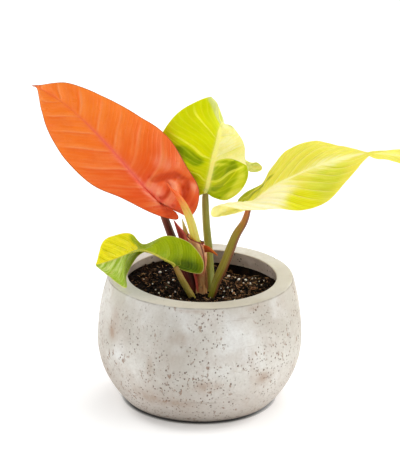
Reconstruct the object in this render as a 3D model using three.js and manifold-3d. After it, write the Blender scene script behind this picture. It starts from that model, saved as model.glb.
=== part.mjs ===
// A young philodendron with one red leaf and three yellow-green ones, growing in a round concrete
// bowl. Millimetres, +Z up, +X to the right of the front view, -Y towards the viewer. The origin is
// the centre of the bowl's flat foot, on the surface that it stands on.
import * as THREE from "three";
import { mergeVertices } from "three/addons/utils/BufferGeometryUtils.js";
import Module from "manifold-3d";

const wasm = await Module();
wasm.setup();

// Concrete bowl: two arcs that meet at the belly, a rounded foot and a flat rim.
const bellyRadius = 90;
const bellyHeight = 57;
const lowerArc = 77;
const upperArc = 178.7;
const footRound = 6;
const potHeight = 113;
const wall = 15;
const floorHeight = 15;
const rimEdge = 0.8;
const openingShift = 1.3; // the opening was cast a little to the right of the bowl's axis
const potSides = 48;
const footSteps = 2;
const lowerSteps = 6;
const upperSteps = 5;
const hollowSteps = 8;

// Soil: a shallow dish, higher along the left wall, washed out at the back right.
const soilCentre = 100;
const soilEdge = 106;
const soilLeftRise = 2;
const soilLeftAngle = 165;
const soilWash = 7;
const soilWashAngle = 58;
const soilWashSpread = 25;
const soilSides = potSides;
const soilRings = 4;
const soilWallRows = 5;
const soilCore = 6; // radius of the middle ring
const soilDish = 1.5; // how late the surface turns up towards the wall

// Clearance between pieces that rest on or grow against each other.
const gap = 0.3;

// Stem and roots below the sheaths.
const stemPlace = { x: 0.7, y: -8 };
const stemRadius = 4.2;
const stemTop = 128;
const stemFoot = 72;
const rootCount = 6;
const rootRadius = 2.1;
const rootReach = 46;
const rootDrop = 40;
const rootTop = 86;
const rootStagger = 2; // every second root leaves the stem lower
const rootShortening = 0.12; // the roots come in three lengths
const rootTurn = 0.3;
const rootSwing = 0.25; // sideways bend of a root towards its tip

// Leaf blades.
const bladeThickness = 0.9;
const edgeThickness = 0.5;
const bladeCrown = 0.07; // arch of each half, as a fraction of its width
const bladeMarginShare = 0.6; // how far a half faces as its margin does, rather than its midrib
const bladeStepsPerStation = 2;
const bladeColumns = 5;
const sheathThickness = 0.5;
const sheathEdge = 0.3;
const sheathCrown = 0.1;

// Perlite grains and bark chips that lie on the soil: x, y and size.
const perliteFlatness = 0.8;
const barkFlatness = 0.4;
const grainWidth = 0.75;
const perliteGrains = [
  [-36, 24, 1.3],
  [-24, 11, 1.1],
  [-28, 3, 1.2],
  [25, 30, 1.2],
  [34, 17, 1.5],
  [40, 14, 1.4],
];
const barkChips = [
  [46, -7, 2.6],
  [29, -17, 2.2],
];

const point = (p) => new THREE.Vector3(p[0], p[1], p[2]);
const curveOf = (points) => new THREE.CatmullRomCurve3(points.map(point), false, "catmullrom", 0.5);
const radians = THREE.MathUtils.degToRad;

// A closed mesh as a solid that can be cut and joined.
function solidOf(geometry) {
  const bare = new THREE.BufferGeometry();
  bare.setAttribute("position", geometry.getAttribute("position").clone());
  if (geometry.index) bare.setIndex(geometry.index.clone());
  const merged = mergeVertices(bare, 1e-4);
  return new wasm.Manifold(
    new wasm.Mesh({
      numProp: 3,
      vertProperties: new Float32Array(merged.attributes.position.array),
      triVerts: new Uint32Array(merged.index.array),
    }),
  );
}

// A solid as a mesh again.
function geometryOf(solid) {
  const mesh = solid.getMesh();
  const geometry = new THREE.BufferGeometry();
  geometry.setAttribute("position", new THREE.BufferAttribute(mesh.vertProperties, 3));
  geometry.setIndex(new THREE.BufferAttribute(mesh.triVerts, 1));
  geometry.computeVertexNormals();
  return geometry;
}

// Points of an arc in the profile plane, from one angle to another, in degrees.
function arcPoints(centreR, centreZ, radius, from, to, steps) {
  const points = [];
  for (let i = 0; i <= steps; i++) {
    const angle = radians(from + ((to - from) * i) / steps);
    points.push(
      new THREE.Vector2(centreR + radius * Math.cos(angle), centreZ + radius * Math.sin(angle)),
    );
  }
  return points;
}

// A body turned about the Z axis, from a profile that starts and ends on the axis.
function turned(profile, sides) {
  const geometry = new THREE.LatheGeometry(profile, sides);
  geometry.rotateX(Math.PI / 2);
  return solidOf(geometry);
}

// A closed skin over rings with the same number of points, with a cap at each end.
function loft(rings) {
  const around = rings[0].length;
  const positions = [];
  const index = [];
  for (const ring of rings) {
    for (const p of ring) positions.push(p.x, p.y, p.z);
  }
  for (let i = 0; i < rings.length - 1; i++) {
    for (let j = 0; j < around; j++) {
      const a = i * around + j;
      const b = i * around + ((j + 1) % around);
      index.push(a, b, a + around, b, b + around, a + around);
    }
  }
  for (const [ring, first, flip] of [
    [rings[0], 0, true],
    [rings[rings.length - 1], (rings.length - 1) * around, false],
  ]) {
    const middle = ring.reduce((sum, p) => sum.add(p), new THREE.Vector3()).divideScalar(around);
    const centre = positions.length / 3;
    positions.push(middle.x, middle.y, middle.z);
    for (let j = 0; j < around; j++) {
      const a = first + j;
      const b = first + ((j + 1) % around);
      if (flip) index.push(centre, b, a);
      else index.push(centre, a, b);
    }
  }
  const geometry = new THREE.BufferGeometry();
  geometry.setAttribute("position", new THREE.Float32BufferAttribute(positions, 3));
  geometry.setIndex(index);
  return geometry;
}

// A stalk along points, each with its radius; grow widens it all round.
function stalk(points, radii, { sides = 10, steps = 3 * (points.length - 1), grow = 0 } = {}) {
  const curve = curveOf(points);
  const width = curveOf(radii.map((r) => [r, 0, 0]));
  const frames = curve.computeFrenetFrames(steps, false);
  const rings = [];
  for (let i = 0; i <= steps; i++) {
    const t = i / steps;
    const centre = curve.getPoint(t);
    const tangent = curve.getTangent(t);
    const side = frames.normals[i].clone().projectOnPlane(tangent).normalize();
    const other = tangent.clone().cross(side);
    const radius = width.getPoint(t).x + grow;
    const ring = [];
    for (let j = 0; j < sides; j++) {
      const angle = (2 * Math.PI * j) / sides;
      ring.push(
        centre
          .clone()
          .addScaledVector(side, radius * Math.cos(angle))
          .addScaledVector(other, radius * Math.sin(angle)),
      );
    }
    rings.push(ring);
  }
  return solidOf(loft(rings));
}

// A blade between three curves: each station holds a point of the midrib and the points of the left
// and right margin that its side veins run to.
function bladeSurface(stations, crown) {
  const rib = curveOf(stations.map((s) => s[0]));
  const margins = [curveOf(stations.map((s) => s[1])), curveOf(stations.map((s) => s[2]))];
  // u runs from the stalk to the tip, v from the left margin at -1 over the midrib to the right.
  return (u, v) => {
    const margin = v < 0 ? margins[0] : margins[1];
    const side = v < 0 ? -1 : 1;
    const out = Math.abs(v);
    const from = rib.getPoint(u);
    const across = margin.getPoint(u).sub(from);
    const width = across.length();
    const along = rib.getTangent(u).lerp(margin.getTangent(u), bladeMarginShare);
    const up = along.cross(across).normalize().multiplyScalar(-side);
    const arch = 4 * out * (1 - out) * crown * width;
    return from.addScaledVector(across, out).addScaledVector(up, arch);
  };
}

// The solid of a blade, thinner at its margins.
function blade(stations, thickness, edge, crown) {
  const surface = bladeSurface(stations, crown);
  const steps = bladeStepsPerStation * (stations.length - 1);
  const nudge = 1e-3; // step of u or v for the slope of the surface
  const rings = [];
  for (let i = 0; i <= steps; i++) {
    const u = i / steps;
    const top = [];
    const bottom = [];
    for (let j = -bladeColumns; j <= bladeColumns; j++) {
      const v = j / bladeColumns;
      const p = surface(u, v);
      const alongU = surface(Math.min(1, u + nudge), v).sub(surface(Math.max(0, u - nudge), v));
      const alongV = surface(u, Math.min(1, v + nudge)).sub(surface(u, Math.max(-1, v - nudge)));
      const down = alongU.cross(alongV).normalize();
      const thick = THREE.MathUtils.lerp(thickness, edge, Math.abs(v));
      top.push(p);
      bottom.push(p.clone().addScaledVector(down, thick));
    }
    rings.push([...top, ...bottom.reverse()]);
  }
  const solid = solidOf(loft(rings));
  return solid.volume() < 0 ? solidOf(loft(rings.reverse())) : solid;
}

// Concrete bowl
function innerRadius(z) {
  const radius = z < bellyHeight ? lowerArc - wall : upperArc - wall;
  const centre = z < bellyHeight ? bellyRadius - lowerArc : bellyRadius - upperArc;
  return centre + Math.sqrt(radius ** 2 - (z - bellyHeight) ** 2);
}

function concretePot() {
  const lowerCentre = bellyRadius - lowerArc;
  const upperCentre = bellyRadius - upperArc;
  const roundReach = Math.sqrt((lowerArc - footRound) ** 2 - (bellyHeight - footRound) ** 2);
  const roundAngle = THREE.MathUtils.radToDeg(Math.atan2(footRound - bellyHeight, roundReach));
  const shoulder = potHeight - rimEdge;
  const topAngle = THREE.MathUtils.radToDeg(Math.asin((shoulder - bellyHeight) / upperArc));
  const rimOuter = upperCentre + Math.sqrt(upperArc ** 2 - (potHeight - bellyHeight) ** 2);
  const outside = turned(
    [
      new THREE.Vector2(0, 0),
      ...arcPoints(lowerCentre + roundReach, footRound, footRound, -90, roundAngle, footSteps),
      ...arcPoints(lowerCentre, bellyHeight, lowerArc, roundAngle, 0, lowerSteps).slice(1),
      ...arcPoints(upperCentre, bellyHeight, upperArc, 0, topAngle, upperSteps).slice(1),
      new THREE.Vector2(rimOuter - rimEdge, potHeight),
      new THREE.Vector2(0, potHeight),
    ],
    potSides,
  );
  const hollow = [new THREE.Vector2(0, floorHeight)];
  for (let i = 0; i <= hollowSteps; i++) {
    const z = THREE.MathUtils.lerp(floorHeight, shoulder, i / hollowSteps);
    hollow.push(new THREE.Vector2(innerRadius(z), z));
  }
  const mouth = innerRadius(potHeight) + rimEdge;
  const above = potHeight + 2;
  hollow.push(new THREE.Vector2(mouth, potHeight), new THREE.Vector2(mouth, above));
  hollow.push(new THREE.Vector2(0, above));
  return outside.subtract(turned(hollow, potSides).translate([openingShift, 0, 0]));
}

// Height of the soil along the wall, by angle, and anywhere inside it.
function soilAtWall(angle) {
  const degrees = THREE.MathUtils.radToDeg(angle);
  const offWash = THREE.MathUtils.euclideanModulo(degrees - soilWashAngle + 180, 360) - 180;
  const wash = soilWash * Math.exp(-((offWash / soilWashSpread) ** 2));
  return soilEdge + soilLeftRise * Math.cos(radians(degrees - soilLeftAngle)) - wash;
}

function soilHeight(x, y) {
  const share = Math.min(1, Math.hypot(x, y) / innerRadius(soilEdge));
  return THREE.MathUtils.lerp(soilCentre, soilAtWall(Math.atan2(y, x)), share ** soilDish);
}

function pottingSoil(embedded) {
  const rings = [];
  // Rings run around the axis: out along the floor, up the wall, then in over the surface.
  const ringAt = (radiusOf, heightOf) => {
    const ring = [];
    for (let j = 0; j < soilSides; j++) {
      const angle = (2 * Math.PI * j) / soilSides;
      const z = heightOf(angle);
      const r = radiusOf(angle, z);
      ring.push(new THREE.Vector3(r * Math.cos(angle), r * Math.sin(angle), z));
    }
    return ring;
  };
  const low = floorHeight + gap;
  rings.push(ringAt(() => soilCore, () => low));
  for (let i = 0; i <= soilWallRows; i++) {
    const share = i / soilWallRows;
    rings.push(
      ringAt(
        (angle, z) => innerRadius(z) - 2 * gap,
        (angle) => THREE.MathUtils.lerp(low, soilAtWall(angle), share),
      ),
    );
  }
  for (let i = soilRings - 1; i >= 0; i--) {
    const share = Math.max(i / soilRings, soilCore / innerRadius(soilEdge));
    rings.push(
      ringAt(
        (angle) => share * (innerRadius(soilAtWall(angle)) - 2 * gap),
        (angle) => THREE.MathUtils.lerp(soilCentre, soilAtWall(angle), share ** soilDish),
      ),
    );
  }
  const body = solidOf(loft(rings)).translate([openingShift, 0, 0]);
  return embedded.reduce((soil, piece) => soil.subtract(piece), body);
}

// Stem with its fleshy roots, one grown piece.
function stemAndRoots(grow) {
  const { x, y } = stemPlace;
  let grown = stalk(
    [
      [x, y, stemFoot - grow],
      [x + 0.3, y, 90],
      [x, y - 0.4, 108],
      [x - 0.2, y - 0.6, stemTop + grow],
    ],
    [stemRadius, stemRadius + 0.8, stemRadius, stemRadius - 0.6],
    { grow },
  );
  for (let i = 0; i < rootCount; i++) {
    const turn = (2 * Math.PI * i) / rootCount + rootTurn;
    const reach = rootReach * (1 - rootShortening * (i % 3));
    const out = (share, drop) => [
      x + reach * share * Math.cos(turn + rootSwing * share),
      y + reach * share * Math.sin(turn + rootSwing * share),
      rootTop - rootStagger * (i % 2) - drop * rootDrop,
    ];
    const end = 1 + grow / reach;
    grown = grown.add(
      stalk(
        [out(0.03, 0), out(0.35, 0.15), out(0.7, 0.6), out(0.85, end)],
        [rootRadius, rootRadius - 0.3, rootRadius - 0.8, 0.7],
        { sides: 6, steps: 6, grow },
      ),
    );
  }
  return grown;
}

// Stalks of the leaves, from below the soil to the blade: points and radii.
const leafStalks = {
  red_leaf_petiole: {
    points: [
      [-6, -8, 84],
      [-8, -6, 100],
      [-14, -1.5, 118],
      [-25, 2, 146],
      [-32.5, 4.6, 165],
      [-36.8, 5.2, 176.5],
    ],
    radii: [2.6, 3.9, 4.1, 3.7, 3.4, 2.9],
    color: 0x6e1f2b,
  },
  centre_leaf_petiole: {
    points: [
      [5, -5, 84],
      [9, -3, 104],
      [8.2, 0, 116],
      [6.8, 4, 134],
      [4.4, 9.4, 155],
      [3, 14.2, 177],
      [3.2, 15.8, 185],
    ],
    radii: [2.4, 3.7, 3.6, 3.3, 3, 2.8, 2.5],
    color: 0x83883a,
  },
  right_leaf_petiole: {
    points: [
      [4, -11, 84],
      [10, -20, 101],
      [14, -18, 114],
      [19.8, -16, 127],
      [29.6, -12, 153],
      [37, -9.5, 166],
      [40.6, -7, 176],
    ],
    radii: [2.3, 3.2, 3.8, 4.3, 3.9, 3.1, 2.6],
    color: 0x8a6a34,
  },
  front_leaf_petiole: {
    points: [
      [-2, -13, 84],
      [-6.5, -24, 100],
      [-12.6, -27, 112],
      [-17, -29.5, 121],
      [-21.6, -29.4, 129.4],
    ],
    radii: [2, 2.9, 2.9, 2.8, 2.4],
    color: 0x8b8a3c,
  },
};

// Blades: for each station a point of the midrib, of the left margin and of the right margin.
const leafBlades = {
  red_leaf_blade: {
    stations: [
      [[-36, 1, 176], [-34, -2, 175], [-33.5, 0, 175.5]],
      [[-38, 1, 178], [-25, -6, 174], [-24, 0, 174.5]],
      [[-41, 2, 181], [-20, -10, 168], [-12, -2, 167]],
      [[-45, 3, 186], [-32, -10, 169], [-4, 2, 175]],
      [[-52, 5, 193], [-47, -8, 174], [-3, 8, 191]],
      [[-63, 9, 205], [-70, -3, 184], [-13, 15, 207]],
      [[-76, 13, 219], [-96, 2, 194], [-31, 22, 233]],
      [[-92, 18, 235], [-119, 9, 214], [-57, 27, 250]],
      [[-111, 24, 252], [-134, 18, 235], [-88, 31, 266]],
      [[-129, 31, 264], [-142, 28, 256], [-119, 35, 276]],
      [[-144, 39, 270], [-145.5, 39, 268.5], [-143, 39, 272.5]],
      [[-150, 41, 271], [-150, 41, 270.7], [-150, 41, 271.4]],
    ],
    color: 0xe8582a,
  },
  centre_leaf_blade: {
    stations: [
      [[3, 12, 186], [2, 12, 184.5], [5, 11, 184.5]],
      [[4, 12, 188], [-5, 13, 181], [11, 7, 182]],
      [[5, 13, 191], [-17, 16, 181], [22, 2, 182]],
      [[6, 14, 196], [-29, 20, 188], [34, 0, 192]],
      [[8, 16, 205], [-36, 24, 201], [40, 4, 205]],
      [[10, 19, 216], [-38, 28, 218], [37, 16, 216]],
      [[13, 24, 227], [-35, 32, 234], [36, 24, 226]],
      [[15, 32, 236], [-20, 36, 251], [29, 34, 235]],
      [[18, 46, 237], [4, 45, 262.5], [24, 48, 235]],
      [[25, 62, 218], [-3, 62, 239], [33, 58, 214]],
      [[36, 70, 199], [20, 73, 209], [35, 68, 194]],
      [[44, 70, 192], [41, 72, 196], [42, 68, 187.5]],
      [[51.5, 68, 188.5], [51.5, 68.5, 190], [51, 67.5, 187]],
    ],
    color: 0xb9cc2c,
  },
  right_leaf_blade: {
    stations: [
      [[40, -8, 178], [38, -6, 178.5], [38, -10, 177]],
      [[40.4, -8, 178.3], [32, 2, 177], [28, -22, 178]],
      [[41, -8, 178.8], [32, 10, 180], [9.5, -35, 179.5]],
      [[42.5, -8, 180.5], [39, 16, 185], [12.5, -40, 191]],
      [[49, -8, 187.5], [52, 20, 191], [39, -42, 188.5]],
      [[63, -7.5, 199], [56, 22, 203], [65, -41, 190]],
      [[82, -6, 209], [73, 24, 221], [87, -38, 188]],
      [[100, -4, 217], [95, 26, 230], [108, -33, 195]],
      [[120, -2, 223], [120, 26, 226], [125, -29, 214]],
      [[136, 0, 225], [138, 25, 221], [137, -26, 228]],
      [[147, 2, 225], [149, 25, 219], [145, -22, 231]],
      [[159, 4, 225], [161, 22, 215], [158, -16, 235]],
      [[173, 6, 224], [174, 18, 213], [172, -8, 235]],
      [[185, 8, 220], [185, 14, 212], [185, -1, 228]],
      [[198, 10, 214], [197, 10, 213.5], [198, 9, 215]],
    ],
    color: 0xdedb4f,
  },
  front_leaf_blade: {
    stations: [
      [[-23, -32, 133], [-21, -31, 131], [-24.5, -30, 132.5]],
      [[-24, -32, 134], [-12, -30, 127], [-26, -22, 133]],
      [[-27, -33, 136], [0, -29, 125], [-28, -14, 132]],
      [[-30, -34, 138], [3, -27, 132], [-31, -10, 134]],
      [[-35, -35, 141], [-1, -24, 141], [-35, -9, 136]],
      [[-42, -36, 145], [-12, -22, 152], [-40, -9, 138]],
      [[-49, -38, 148], [-31, -20, 156], [-47, -10, 138]],
      [[-54, -39, 149], [-50, -15, 146], [-56, -14, 133]],
      [[-62, -41, 147], [-61, -16, 156], [-64, -28, 122]],
      [[-70, -43, 144], [-74, -20, 156], [-64, -54, 120]],
      [[-80, -46, 141], [-85, -30, 153], [-77, -63, 133]],
      [[-90, -52, 140], [-89.5, -51, 141], [-89.5, -53, 139]],
    ],
    color: 0x8fb02a,
  },
};

// Sheaths around the growing point, made as narrow blades.
const sheathBlades = {
  red_sheath: {
    stations: [
      [[-4.6, -9.6, 110], [-4.2, -7.4, 110], [-3, -12.4, 110]],
      [[-6.8, -10.8, 120], [-7.6, -8, 120], [-4.6, -14.6, 120]],
      [[-10.4, -11.4, 131], [-13.4, -9, 131], [-7.6, -15.2, 130]],
      [[-14, -11.6, 143], [-18, -8.4, 145], [-10.6, -14.8, 142]],
      [[-16.4, -9.8, 154], [-21.4, -8, 156], [-12.4, -11, 153]],
      [[-24, -8, 166], [-24.5, -8, 166.2], [-23.4, -8, 165.4]],
    ],
    color: 0x8c1f38,
  },
  pale_sheath: {
    stations: [
      [[-2.5, -5, 116], [-3.3, -5.6, 116], [-1.7, -4.4, 116]],
      [[-7, -4.2, 134], [-8, -4.6, 134], [-6, -3.8, 134]],
      [[-13.4, -4.6, 154], [-14.6, -4.8, 154], [-12.4, -4.4, 154]],
      [[-16.4, -4.4, 167], [-16.8, -4.4, 167], [-16, -4.4, 167]],
    ],
    color: 0xd9d58a,
  },
  dry_sheath_tip: {
    stations: [
      [[2.6, -14, 143], [2.2, -14.4, 146], [3.2, -13.6, 139]],
      [[8, -17, 142.5], [7.6, -17, 145], [8.2, -16.4, 140]],
      [[14.5, -21, 139], [14.6, -21, 139.4], [14.3, -21, 138.6]],
    ],
    color: 0xc47a36,
  },
  dry_sheath_base: {
    stations: [
      [[5.8, -9.6, 103], [6, -7.4, 103.5], [4.6, -11.6, 102.6]],
      [[5.5, -9.6, 111], [5.8, -7.6, 110], [4.3, -11.6, 112]],
      [[5.3, -9.4, 121], [5.5, -9, 121], [5.1, -9.8, 121]],
    ],
    color: 0x6b4a2c,
  },
};

// Rolled new leaf, standing on the stem's top inside the pink sheath.
function newLeafSpear() {
  return stalk(
    [
      [0.3, -8.6, stemTop + 1],
      [-1.2, -9, 139],
      [-5, -10, 149],
      [-10.6, -12, 164],
      [-16.6, -13, 178],
      [-23, -14, 192],
      [-27, -14, 197],
    ],
    [3, 3.7, 4, 3.4, 2.4, 1.1, 0.4],
  );
}

// Pink sheath: a tube around the stem's top, open above, with an oblique mouth.
function pinkSheath() {
  const path = [[0.4, -8.6, 124], [-0.2, -8.9, 132], [-1.8, -9.4, 140], [-4.8, -10, 149]];
  const outer = stalk(path, [5.2, 5.6, 6, 6.2]);
  const inner = stalk(
    [[0.6, -8.5, 121], ...path.slice(1, 3), [-5.5, -10.1, 151]],
    [4.7, 4.8, 5, 5.3],
  );
  // What lies above the slanting mouth is cut away.
  const mouthLean = radians(24);
  const mouthHeight = 147;
  const above = new THREE.BoxGeometry(30, 30, 20);
  above.rotateY(mouthLean);
  above.translate(2, -9, mouthHeight + 10);
  return outer.subtract(inner).subtract(solidOf(above));
}

// A grain that lies on the soil, turned about Z.
function soilGrain(x, y, size, flatness, turn) {
  const geometry = new THREE.IcosahedronGeometry(size, 1);
  geometry.scale(1, grainWidth, flatness);
  geometry.rotateZ(turn);
  const lift = soilHeight(x - openingShift, y) + size * flatness + gap;
  geometry.translate(x, y, lift);
  return solidOf(geometry);
}

const plant = new THREE.Group();

function addPiece(name, solid, { color, roughness }) {
  const material = new THREE.MeshStandardMaterial({ color, roughness, metalness: 0 });
  const mesh = new THREE.Mesh(geometryOf(solid), material);
  mesh.name = name;
  plant.add(mesh);
}

const roomForStem = stemAndRoots(gap);
addPiece("concrete_pot", concretePot(), { color: 0xc9c5bc, roughness: 0.9 });
addPiece("stem_and_roots", stemAndRoots(0), { color: 0xb98d6a, roughness: 0.6 });

const stalkRooms = [];
for (const [name, { points, radii, color }] of Object.entries(leafStalks)) {
  addPiece(name, stalk(points, radii).subtract(roomForStem), { color, roughness: 0.4 });
  stalkRooms.push(stalk(points, radii, { grow: gap }));
}
for (const [name, { stations, color }] of Object.entries(leafBlades)) {
  const leaf = blade(stations, bladeThickness, edgeThickness, bladeCrown);
  addPiece(name, leaf, { color, roughness: 0.35 });
}
for (const [name, { stations, color }] of Object.entries(sheathBlades)) {
  const sheath = blade(stations, sheathThickness, sheathEdge, sheathCrown);
  addPiece(name, sheath, { color, roughness: 0.5 });
}
addPiece("new_leaf_spear", newLeafSpear(), { color: 0xd9c95e, roughness: 0.35 });
addPiece("pink_sheath", pinkSheath(), { color: 0xb5474f, roughness: 0.5 });
addPiece("potting_soil", pottingSoil([roomForStem, ...stalkRooms]), { color: 0x2a1c14, roughness: 1 });
perliteGrains.forEach(([x, y, size], i) => {
  const grain = soilGrain(x, y, size, perliteFlatness, i);
  addPiece(`perlite_${i + 1}`, grain, { color: 0xe8e2d6, roughness: 0.9 });
});
barkChips.forEach(([x, y, size], i) => {
  const chip = soilGrain(x, y, size, barkFlatness, i + 0.5);
  addPiece(`bark_chip_${i + 1}`, chip, { color: 0x8a6242, roughness: 0.9 });
});

export default plant;
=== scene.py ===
import math
import random

import bpy
import numpy as np
from mathutils import Euler, Matrix, Vector, noise


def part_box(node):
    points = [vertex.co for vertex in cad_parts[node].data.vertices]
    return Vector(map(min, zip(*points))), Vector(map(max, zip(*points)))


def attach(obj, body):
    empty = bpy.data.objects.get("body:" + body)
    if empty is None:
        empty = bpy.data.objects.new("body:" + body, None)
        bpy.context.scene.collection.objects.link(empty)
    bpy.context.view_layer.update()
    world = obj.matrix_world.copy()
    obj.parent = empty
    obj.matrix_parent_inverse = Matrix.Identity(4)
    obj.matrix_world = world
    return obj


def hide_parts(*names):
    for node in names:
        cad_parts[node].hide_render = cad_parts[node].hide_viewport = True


# A young philodendron with one red leaf and three yellow-green ones in a concrete bowl.
# Metres, +Z up, +X to the right of the front view, -Y towards the viewer.

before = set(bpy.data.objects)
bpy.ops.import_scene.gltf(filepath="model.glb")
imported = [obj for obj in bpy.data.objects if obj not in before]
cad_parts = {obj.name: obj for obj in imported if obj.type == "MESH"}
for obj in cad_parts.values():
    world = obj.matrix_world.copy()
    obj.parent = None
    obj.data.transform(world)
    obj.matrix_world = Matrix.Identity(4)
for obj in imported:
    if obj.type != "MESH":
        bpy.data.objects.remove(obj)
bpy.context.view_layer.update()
mm = 0.001
random.seed(7)


def deselectAll():
    if bpy.context.object and bpy.context.object.mode != "OBJECT":
        bpy.ops.object.mode_set(mode="OBJECT")
    bpy.ops.object.select_all(action="DESELECT")


def active(piece):
    deselectAll()
    piece.select_set(True)
    bpy.context.view_layer.objects.active = piece
    return piece


def smooth(low, high, x):
    # 0 below low, 1 above high
    t = np.clip((x - low) / (high - low), 0, 1)
    return t * t * (3 - 2 * t)


def softNoise(points, size, seed=0):
    # smooth noise from -1 to 1 with blobs of the given size
    shift = Vector((seed * 13.7, seed * 5.1, seed * 9.3))
    return np.array([noise.noise(Vector(p) / size + shift) for p in points])


def coordinates(mesh):
    flat = np.empty(len(mesh.vertices) * 3)
    mesh.vertices.foreach_get("co", flat)
    return flat.reshape(-1, 3)


def putCoordinates(mesh, points):
    mesh.vertices.foreach_set("co", np.asarray(points, float).ravel())
    mesh.update()


def attribute(mesh, name, values):
    made = mesh.attributes.new(name, "FLOAT", "POINT")
    made.data.foreach_set("value", np.asarray(values, np.float32))


def applyModifier(piece, kind, **values):
    active(piece)
    bpy.ops.object.modifier_add(type=kind)
    modifier = piece.modifiers[-1]
    for key, value in values.items():
        setattr(modifier, key, value)
    bpy.ops.object.modifier_apply(modifier=modifier.name)


def finished(piece, slot, *replaced):
    # the piece rides on the plant's one body and takes the place of its plain solids
    deselectAll()
    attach(piece, "root")
    if replaced:
        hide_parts(*replaced)


def started(name):
    # the object just added, under its name
    piece = bpy.context.object
    piece.name = piece.data.name = name
    return piece


def closeOutward():
    # faces outward, then back to object mode
    bpy.ops.mesh.select_all(action="SELECT")
    bpy.ops.mesh.normals_make_consistent(inside=False)
    bpy.ops.object.mode_set(mode="OBJECT")


def smoothShaded(piece, angle=None):
    active(piece)
    if angle is None:
        bpy.ops.object.shade_smooth()
    else:
        bpy.ops.object.shade_smooth_by_angle(angle=math.radians(angle))


def newPiece(name, points, faces, material):
    mesh = bpy.data.meshes.new(name)
    mesh.from_pydata(points, [], faces)
    mesh.update()
    mesh.materials.append(material)
    piece = bpy.data.objects.new(name, mesh)
    bpy.context.collection.objects.link(piece)
    return piece


def curvePoint(points, s):
    # point of a smooth curve through the stations, at station number s
    p = np.asarray(points, float)
    n = len(p) - 1
    p = np.vstack([2 * p[0] - p[1], p, 2 * p[-1] - p[-2]])
    s = np.clip(s, 0, n)
    i = np.minimum(s.astype(int), n - 1)
    w = (s - i)[:, None]
    a, b, c, d = p[i], p[i + 1], p[i + 2], p[i + 3]
    startSlope, endSlope = (c - a) / 2, (d - b) / 2
    return (
        (2 * w**3 - 3 * w**2 + 1) * b
        + (w**3 - 2 * w**2 + w) * startSlope
        + (3 * w**2 - 2 * w**3) * c
        + (w**3 - w**2) * endSlope
    )


def unit(vectors):
    return vectors / np.maximum(np.linalg.norm(vectors, axis=1), 1e-12)[:, None]


def curveTangent(points, s, step=1e-3):
    last = len(points) - 1
    return unit(
        curvePoint(points, np.minimum(s + step, last)) - curvePoint(points, np.maximum(s - step, 0))
    )


class Shader:
    # a material with one Principled shader, whose colour is laid on in layers
    def __init__(self, name, **values):
        self.material = bpy.data.materials.new(name)
        self.material.use_nodes = True
        self.tree = self.material.node_tree
        self.surface = self.tree.nodes["Principled BSDF"]
        for key, value in values.items():
            self.surface.inputs[key].default_value = value

    def put(self, socket, value):
        if isinstance(value, bpy.types.NodeSocket):
            self.tree.links.new(value, socket)
        else:
            socket.default_value = value

    def node(self, kind, **values):
        made = self.tree.nodes.new("ShaderNode" + kind)
        for key, value in values.items():
            setattr(made, key, value)
        return made

    def fed(self, kind, inputs, **values):
        # a node with its inputs set or linked
        made = self.node(kind, **values)
        for key, value in inputs.items():
            self.put(made.inputs[key], value)
        return made

    def place(self, scale=(1, 1, 1), turn=(0, 0, 0), move=(0, 0, 0)):
        start = self.node("TexCoord").outputs["Object"]
        inputs = {"Scale": scale, "Rotation": turn, "Location": move, "Vector": start}
        return self.fed("Mapping", inputs).outputs["Vector"]

    def noise(self, scale, detail=4, roughness=0.55, vector=None, distortion=0):
        inputs = {"Vector": vector or self.place(), "Scale": scale, "Detail": detail}
        inputs.update({"Roughness": roughness, "Distortion": distortion})
        return self.fed("TexNoise", inputs).outputs["Fac"]

    def cells(self, scale, vector=None, feature="F1"):
        inputs = {"Vector": vector or self.place(), "Scale": scale}
        return self.fed("TexVoronoi", inputs, feature=feature).outputs["Distance"]

    def ramp(self, value, low, high, start=0, end=1):
        # start where value is under low, end over high
        inputs = {"Value": value, "From Min": low, "From Max": high, "To Min": start, "To Max": end}
        return self.fed("MapRange", inputs, interpolation_type="SMOOTHSTEP").outputs["Result"]

    def math(self, operation, a, b=0.0):
        return self.fed("Math", {0: a, 1: b}, operation=operation).outputs[0]

    def times(self, a, b):
        return self.math("MULTIPLY", a, b)

    def plus(self, a, b):
        return self.math("ADD", a, b)

    def minus(self, a, b):
        return self.math("SUBTRACT", a, b)

    def mix(self, share, a, b, blend="MIX"):
        inputs = {"Factor": share, 6: rgba(a), 7: rgba(b)}
        return self.fed("Mix", inputs, data_type="RGBA", blend_type=blend).outputs[2]

    def over(self, share, color):
        self.color = self.mix(share, self.color, color)

    def vector(self, x, y, z=0.0):
        return self.fed("CombineXYZ", {0: x, 1: y, 2: z}).outputs[0]

    def fibres(self, around, lengthwise, scale, detail=5, roughness=0.65):
        # noise drawn out along a stalk; around says how fine it is across
        x, y = (self.times(self.read(key), around) for key in ("turn", "turnToo"))
        return self.noise(scale, detail, roughness, self.vector(x, y, lengthwise))

    def read(self, name):
        return self.node("Attribute", attribute_name=name).outputs["Fac"]

    def part(self, axis):
        return self.fed("SeparateXYZ", {0: self.place()}).outputs[axis]

    def bump(self, height, distance, strength=1.0, below=None):
        inputs = {"Height": height, "Distance": distance, "Strength": strength}
        if below is not None:
            inputs["Normal"] = below
        return self.fed("Bump", inputs).outputs["Normal"]

    def finish(self, roughness, normal=None):
        self.put(self.surface.inputs["Base Color"], self.color)
        self.put(self.surface.inputs["Roughness"], roughness)
        if normal is not None:
            self.put(self.surface.inputs["Normal"], normal)
        return self.material


def rgba(color):
    if isinstance(color, bpy.types.NodeSocket):
        return color
    return (*color, 1) if len(color) == 3 else color


def rgb(*screen):
    # a screen colour from 0 to 255 as light
    parts = [part / 255 for part in screen]
    return tuple(c / 12.92 if c <= 0.04045 else ((c + 0.055) / 1.055) ** 2.4 for c in parts)


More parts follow.
